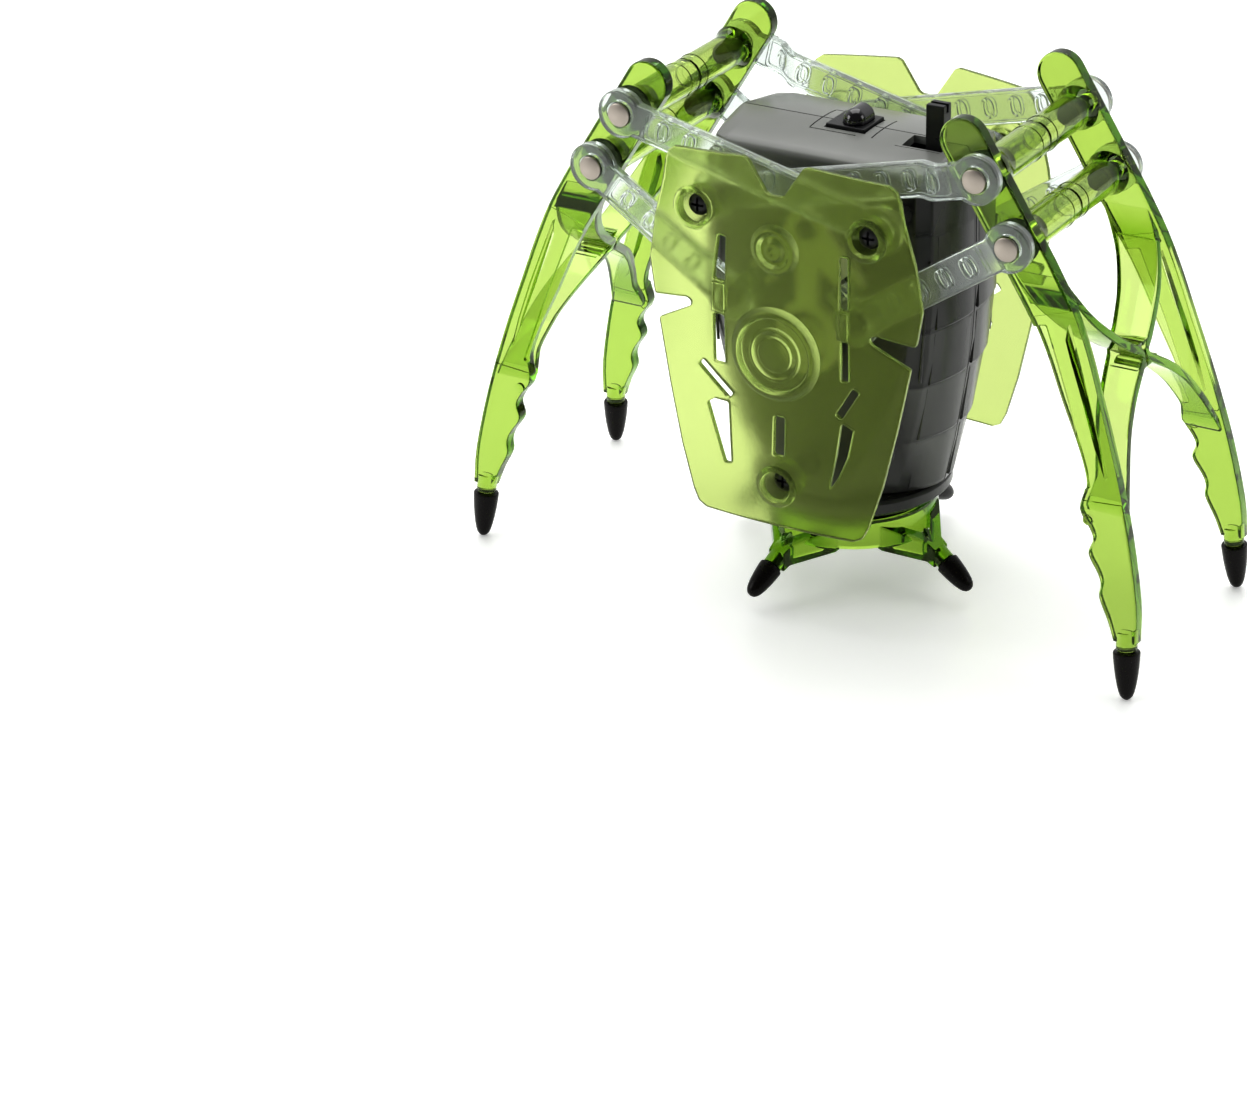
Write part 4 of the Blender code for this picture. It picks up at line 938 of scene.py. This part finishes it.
# Height, half width at the seam, half depth, and how far the corners are drawn in, of the shell.
SHELL_LEVELS = (
    (21.9, 19.6, 17.6, 0.46), (25.0, 20.3, 17.6, 0.40), (31.0, 21.6, 17.2, 0.30),
    (42.0, 23.4, 16.3, 0.20), (52.0, 24.8, 15.7, 0.145), (63.0, 25.4, 15.5, 0.12),
    (75.0, 25.2, 15.2, 0.115), (85.0, 24.7, 14.6, 0.11), (86.6, 24.5, 14.4, 0.11),
)
SHELL_TOP = ((87.6, 0.985), (88.3, 0.95), (88.9, 0.84), (89.6, 0.55), (90.1, 0.22), (90.2, 0.01))
WALL = 1.5
# The points of a shell ring where its front, sides and back meet.
SHELL_CORNERS = (0, 1, 9, 10, 11, 12, 20, 21)
BOW_STEPS = 8
HOLLOW_BOTTOM = 19.0


def shell_ring(width, depth, draw, z, share=1.0):
    """A ring with flat front and back faces, bowed sides and tight corners."""
    w, d = width, depth * share
    side = w * (1.0 - 0.55 * draw - 0.02)
    corner_cut = w * draw
    outline = [(side, d * (1 - draw)), (w, 0.0), (side, -d * (1 - draw))]
    bowed = []
    for step in range(BOW_STEPS + 1):
        t = step / BOW_STEPS
        bowed.append((
            outline[0][0] * (1 - t) ** 2 + (2 * w - side) * 2 * t * (1 - t) + outline[2][0] * t**2,
            outline[0][1] * (1 - 2 * t),
        ))
    corners = [(side - corner_cut, d), *bowed, (side - corner_cut, -d)]
    corners += [(-x, y) for x, y in reversed(corners)]
    corner = 1.2 + 9.0 * max(0.0, draw - 0.12)
    ring = []
    for i, point in enumerate(corners):
        if i in SHELL_CORNERS:
            after = corners[(i + 1) % len(corners)]
            ring += rounded([corners[i - 1], point, after], corner, 4, False)[1:-1]
        else:
            ring.append(point)
    return [(x, y, z) for x, y in ring]


def shell_solid(name, inset):
    levels = [(z, w - inset, d - inset, draw) for z, w, d, draw in SHELL_LEVELS]
    if inset:
        levels[0] = (HOLLOW_BOTTOM, *levels[0][1:])
    rings = [shell_ring(w, d, draw, z) for z, w, d, draw in levels]
    _, width, depth, draw = levels[-1]
    for z, share in SHELL_TOP:
        ends = 0.955 + 0.045 * share
        rings.append(shell_ring(width * ends, depth, draw, z - inset, share))
    return loft(name, rings)


def shell_at(z):
    """Half width, half depth and corner draw of the shell at a height."""
    return [interpolate([(level[column], level[0]) for level in reversed(SHELL_LEVELS)], z)
            for column in (1, 2, 3)]


def post(name, xz, end, radius):
    return across(name, radius, xz, shell_at(xz[1])[1] - 0.8, end, 0.15, 28)


SHINGLE_BREAKS = (22.6, 34.5, 46.5, 58.0, 77.0)
SHINGLE_STEPS = 6
SEAM_RIM = 1.1
POST_END = 24.3
ROCKER_POST_END = 19.0
SHAFT_HOLE = 1.9
BEZEL_GAP = 0.25
SLOT_GAP = 0.4
TICK_HALF = 0.15
OVER_ROOF = 95.0


def shingle(side, z0, z1):
    """A raised panel on the shell's side that stands proudest at its lower edge."""
    rings = []
    for step in range(SHINGLE_STEPS + 1):
        t = step / SHINGLE_STEPS
        thinned = 0.55 if step in (0, SHINGLE_STEPS) else 1.0
        ring = []
        for z, lift in ((z0, -1.0), (z0 + 0.1, 0.45), (z0 + 0.5, 0.62), (z1 - 0.9, 0.12),
                        (z1 - 0.5, -0.05), (z1 - 0.5, -1.0)):
            w, d, draw = shell_at(z)
            edge = w * (0.98 - 0.55 * draw)
            y = SEAM_RIM + (d * (1 - draw) - 1.4 - SEAM_RIM) * t
            x = w - (w - edge) * (y / (d * (1 - draw))) ** 2
            ring.append((side * (x + lift * thinned), y, z))
        rings.append(ring)
    return loft("shingle", rings)


def corner_rib(side, z0, z1, radius, inward):
    """A thin round rib between two heights at a corner of the shell."""
    points = []
    for z in (z0, z1):
        w, d, draw = shell_at(z)
        points.append((side * (w * (0.98 - 0.55 * draw) - inward), d * (1 - draw * 0.6) - 0.1, z))
    return rod("rib", radius, *points, 0.0, 10)


def housing(face_name, face):
    """Half of the smoked housing. The back's shell is the front's, mirrored."""
    name = f"housing_{face_name}"
    shell = cut(shell_solid(name, 0.0), shell_solid("hollow", WALL))
    shell = cut(shell, block("split", (-60, -HALF_SEAM, 0), (60, 60, 120)))
    if face > 0:
        flip_in_y(shell)
    solid = []
    for xz in (far_post, SCREW_POST, LOWER_POST):
        solid.append(post("post", xz, POST_END, POST_RADIUS))
    for xz in ((-LINK_PEG[0], LINK_PEG[1]), LINK_PEG):
        solid.append(post("peg", xz, POST_END, PEG_RADIUS))
    solid.append(post("rocker_post", ROCKER_PIVOT, ROCKER_POST_END, PEG_RADIUS))
    for side in (1, -1):
        for z0, z1 in zip(SHINGLE_BREAKS, SHINGLE_BREAKS[1:]):
            solid.append(shingle(side, z0, z1))
        solid.append(corner_rib(side, 48.0, 72.0, 0.30, 0.2))
        solid.append(corner_rib(side, 31.0, 43.0, 0.45, 2.2))
    if face < 0:
        for piece in solid:
            flip_in_y(piece)
    shell = join(shell, *solid)
    cuts = []
    for xz in (far_post, SCREW_POST, LOWER_POST):
        cuts.append(across("hole", SCREW_HOLE, xz, face * 17.5, face * 26.0, 0.0, 20))
    cuts.append(across("shaft_hole", SHAFT_HOLE, CRANK_AXIS, face * 10.0, face * 20.0, 0.0, 24))
    cuts.append(block("eye_hole", (bezel_low.x - BEZEL_GAP, bezel_low.y - BEZEL_GAP, 86.0),
                      (bezel_high.x + BEZEL_GAP, bezel_high.y + BEZEL_GAP, OVER_ROOF)))
    for side in (-1, 1):
        cuts.append(block("tick", (bezel_low.x - 2.6, side * 5.2 - TICK_HALF, 89.2),
                          (bezel_high.x - 1.0, side * 5.2 + TICK_HALF, OVER_ROOF)))
        cuts.append(block("tick", (side * 6.4 - TICK_HALF - 0.3, -5.0, 89.4),
                          (side * 6.4 + TICK_HALF - 0.3, 5.0, OVER_ROOF)))
    if face < 0:
        cuts.append(block("switch_slot", (lever_low.x - 4.0, lever_low.y - 1.5, 84.0),
                          (lever_high.x + SLOT_GAP, lever_high.y + SLOT_GAP, OVER_ROOF)))
        cuts.append(block("slot_step", (lever_low.x - 5.2, lever_low.y - 2.1, 89.0),
                          (lever_high.x + SLOT_GAP, lever_low.y - 1.9, OVER_ROOF)))
    shell = cut(shell, *cuts)
    return show(shell, "smoke", name)


bezel_low, bezel_high = (Vector(v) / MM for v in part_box("receiver_bezel"))
lens_low, lens_high = (Vector(v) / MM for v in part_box("receiver_dome"))
lever_low, lever_high = (Vector(v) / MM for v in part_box("power_switch"))
for face_name, face in FACES:
    housing(face_name, face)

cap = turned("look_base_cap", [
    (3.6, CAP_BOTTOM + 0.6), (3.6, CAP_BOTTOM + 3.2), (CAP_RADIUS - 0.7, CAP_BOTTOM + 3.2),
    (CAP_RADIUS - 0.1, CAP_BOTTOM + 2.7), (CAP_RADIUS - 0.1, CAP_BOTTOM + 0.9),
    (CAP_RADIUS - 1.0, CAP_BOTTOM), (CAP_RADIUS - 3.0, CAP_BOTTOM),
    (CAP_RADIUS - 3.4, CAP_BOTTOM + 0.6),
], (0, 0, 0), (0, 0, 1), 72, 0.25)
show(cap, "smoke", "base_cap")

LENS_RADIUS = (lens_high.x - lens_low.x) / 2
LENS_X = (lens_high.x + lens_low.x) / 2
LENS_Z = lens_high.z - LENS_RADIUS


def bullet(name, play, steps):
    """The lens: a round bar along Y with a domed front end."""
    radius = LENS_RADIUS + play
    length = lens_high.y - lens_low.y - LENS_RADIUS
    profile = [(0, -play), (radius - 0.3, -play), (radius, 0.3 - play), (radius, length)]
    for step in range(1, 12):
        angle = math.radians(90 * step / 12)
        profile.append((radius * math.cos(angle), length + radius * math.sin(angle)))
    profile.append((0, length + radius))
    return turned(name, profile, (LENS_X, lens_high.y, LENS_Z), (0, -1, 0), steps)


bezel = block("look_receiver_bezel", (*bezel_low.xy, bezel_high.z - 2.6), bezel_high, 0.22)
bezel = cut(bezel, bullet("cradle", 0.12, 40))
show(bezel, "black", "receiver_bezel")
dome = bullet("look_receiver_dome", 0.0, 56)
show(dome, "lens", "receiver_dome", record_slot="black")

lever = block("look_power_switch", (*lever_low.xy, 88.6), lever_high, 0.2)
lever = cut(lever, block("groove", (lever_low.x - 1, lever_low.y + 1.1, lever_high.z - 1.6),
                         (lever_high.x + 1, lever_low.y + 2.0, 99.0)))
lever = join(lever, block("foot", (lever_low.x + 0.6, lever_low.y + 0.6, 83.2),
                          (lever_high.x - 0.6, lever_high.y - 0.6, 89.4), 0.1))
show(lever, "black", "power_switch")


# ---- turning foot

TOE_ROOT = 13.0
TOE_HEIGHT, TOE_DROP = 13.2, 4.9
TOE_HALF, TOE_THINNING = 2.6, 0.7
COLLAR_HEIGHT = 8.4
TOE_TIP_PROFILE = (
    (0, 3.4), (1.45, 3.4), (1.45, 0.15), (1.6, 0), (2.1, 0), (2.26, 0.1), (2.3, 0.35),
    (2.24, 1.4), (2.08, 3.0), (1.86, 4.4), (1.6, 5.5), (1.28, 6.25), (0.85, 6.75),
    (0.4, 6.95), (0, 7.0),
)


def on_foot(radius, across_toe, angle):
    """(x, y) of a point at a radius and a distance across from a toe's middle line."""
    c, s = math.cos(angle), math.sin(angle)
    return radius * c - across_toe * s, radius * s + across_toe * c


def toe_solid(angle):
    """Two struts that meet at the collar, with a small prong between them."""
    outline = rounded([(12.5, -9.0), (14.6, -8.4), (TOE_REACH - 1.7, -2.15), (TOE_REACH, -1.95),
                       (TOE_REACH, 1.95), (TOE_REACH - 1.7, 2.15), (14.6, 8.4), (12.5, 9.0)], 0.4)
    gap = rounded([(12.9, -5.4), (14.9, -5.1), (18.4, -0.9), (17.6, 0.0), (18.4, 0.9),
                   (14.9, 5.1), (12.9, 5.4)], 0.4)
    toe = flat("toe", [outline, gap], -1.0, 1.0, 0.22, 2)

    def stand(x, y, z):
        share = min(1.0, max(0.0, (x - TOE_ROOT) / (TOE_REACH - TOE_ROOT)))
        middle = TOE_HEIGHT - TOE_DROP * share
        half = TOE_HALF - TOE_THINNING * share
        px, py = on_foot(x, z, angle)
        return px, py, middle + half * y

    bend(toe, stand)
    toe.data.flip_normals()
    return toe


hub = turned("look_foot_hub", [
    (0, 27.6), (SPINDLE_RADIUS, 27.6), (SPINDLE_RADIUS, HUB_TOP), (HUB_RADIUS - 2.2, HUB_TOP),
    (HUB_RADIUS - 0.9, HUB_TOP - 0.3), (HUB_RADIUS, HUB_TOP - 1.2), (HUB_RADIUS, HUB_BOTTOM + 1.2),
    (HUB_RADIUS - 0.4, HUB_BOTTOM + 0.4), (HUB_RADIUS - 1.2, HUB_BOTTOM),
    (HUB_RADIUS - 2.1, HUB_BOTTOM), (HUB_RADIUS - 2.1, HUB_TOP - 2.4), (4.2, HUB_TOP - 2.4),
    (4.2, HUB_BOTTOM + 1.5), (0, HUB_BOTTOM + 1.5),
], (0, 0, 0), (0, 0, 1), 72, 0.2)
toe_bits = []
for number, toe_name in enumerate(("toe_back", "toe_left", "toe_front", "toe_right")):
    angle = math.radians(TOE_TURN + 90 * number)
    toe_bits.append(toe_solid(angle))
    heading = Vector((math.cos(angle) * math.cos(TIP_SLOPE), math.sin(angle) * math.cos(TIP_SLOPE),
                      -math.sin(TIP_SLOPE)))
    x, y = on_foot(TOE_REACH, 0, angle)
    collar = Vector((x, y, COLLAR_HEIGHT))
    toe_bits.append(rod("neck", 1.9, collar - heading * 1.2, collar + heading * 1.5, 0.2))
    toe_bits.append(rod("core", 1.3, collar, collar + heading * 4.6))
    tip = turned(f"look_{toe_name}_tip", TOE_TIP_PROFILE, collar + heading * 1.7, heading, 40)
    show(tip, "rubber", f"{toe_name}_tip")
hub = join(hub, *toe_bits)
hub = cut(hub, rod("spindle_bore", SCREW_HOLE, (0, 0, 20.0), (0, 0, 30.0)))
show(hub, "hub", "foot_hub")


# ---- carried-over CAD nodes

CARRIED = {
    "steel": ("crank_shaft", "walk_motor", "turn_motor", "foot_screw", "button_cell_1",
              "button_cell_2", "button_cell_3"),
    "nylon": ("rocker_front", "rocker_back", "crank_gear", "eccentric_front", "eccentric_back",
              "walk_pinion", "turn_gear", "turn_pinion"),
    "black": ("battery_tray",),
    "board": ("circuit_board",),
}
for look, names in CARRIED.items():
    for name in names:
        node = frame["nodes"][name]
        node.data.materials.clear()
        node.data.materials.append(LOOKS[look])


# ---- studio

LAMP_TARGET = (0, 0, 0.05)
SKY_DIRECTION = (-0.50, 0.80, 0.33)
SKY_STOPS = ((0.0, (0.13, 0.135, 0.13, 1)), (0.62, (0.95, 0.96, 0.95, 1)))
FLOOR_GLOW = 0.35
FLOOR_SINK = 0.00005


def floor_and_lights():
    """A pale glowing floor, three soft lamps and a sky that is brighter to one side."""
    bm = bmesh.new()
    bmesh.ops.create_grid(bm, x_segments=1, y_segments=1, size=6.0)
    floor = from_bmesh("studio_floor", bm)
    floor.location.z = -FLOOR_SINK
    paint = surface("floor", (0.90, 0.905, 0.895), 0.30, second=(0.89, 0.895, 0.885),
                    grain_depth=0.0, wave=3.0, rough_spread=0.02)
    glow = paint.node_tree.nodes["Principled BSDF"]
    set_inputs(glow, {"Emission Color": (1.0, 1.0, 0.99, 1.0), "Emission Strength": FLOOR_GLOW})
    floor.data.materials.append(paint)
    for name, location, size, power in (
        ("overhead", (-0.25, 0.35, 1.2), 1.3, 13.0),
        ("left", (-0.9, -0.75, 0.55), 0.6, 5.0),
        ("right", (1.1, 0.3, 0.6), 0.5, 2.5),
    ):
        lamp = bpy.data.lights.new(name, "AREA")
        lamp.size = size
        lamp.energy = power
        obj = placed(name, lamp)
        obj.location = location
        obj.rotation_mode = "QUATERNION"
        obj.rotation_quaternion = (Vector(LAMP_TARGET) - obj.location).to_track_quat("-Z", "Y")
    world = bpy.data.worlds.new("studio")
    scene.world = world
    tree = nodes_of(world)
    out = tree.nodes.new("ShaderNodeOutputWorld")
    back = tree.nodes.new("ShaderNodeBackground")
    coords = tree.nodes.new("ShaderNodeTexCoord")
    facing = tree.nodes.new("ShaderNodeVectorMath")
    facing.operation = "DOT_PRODUCT"
    facing.inputs[1].default_value = SKY_DIRECTION
    ramp = tree.nodes.new("ShaderNodeValToRGB")
    for element, (place, colour) in zip(ramp.color_ramp.elements, SKY_STOPS):
        element.position = place
        element.color = colour
    link_up(tree, coords, "Generated", facing, "Vector")
    link_up(tree, facing, "Value", ramp, "Fac")
    link_up(tree, ramp, "Color", back, "Color")
    link_up(tree, back, "Background", out, "Surface")
    set_inputs(back, {"Strength": 1.0})


floor_and_lights()
GAMMA = 0.86
scene.view_settings.view_transform = "Standard"
scene.view_settings.gamma = GAMMA

FOCAL_PX = 3706.0
IMAGE_WIDTH = 1247.0
CAMERA_AT = (303.2, -569.4, 327.6)
CAMERA_TARGET = (-52.6, 0.0, -9.9)
CAMERA_ROLL = math.radians(-1.5)

camera = bpy.data.cameras.new("camera")
camera.sensor_width = 36.0
camera.lens = FOCAL_PX / IMAGE_WIDTH * camera.sensor_width
camera.clip_start = 0.01
camera.clip_end = 50.0
rig = placed("camera", camera)
aim = (metres(CAMERA_TARGET) - metres(CAMERA_AT)).to_track_quat("-Z", "Y").to_matrix().to_4x4()
rig.matrix_world = (Matrix.Translation(metres(CAMERA_AT)) @ aim
                    @ Matrix.Rotation(CAMERA_ROLL, 4, "Z"))
scene.camera = rig

bpy.context.view_layer.update()
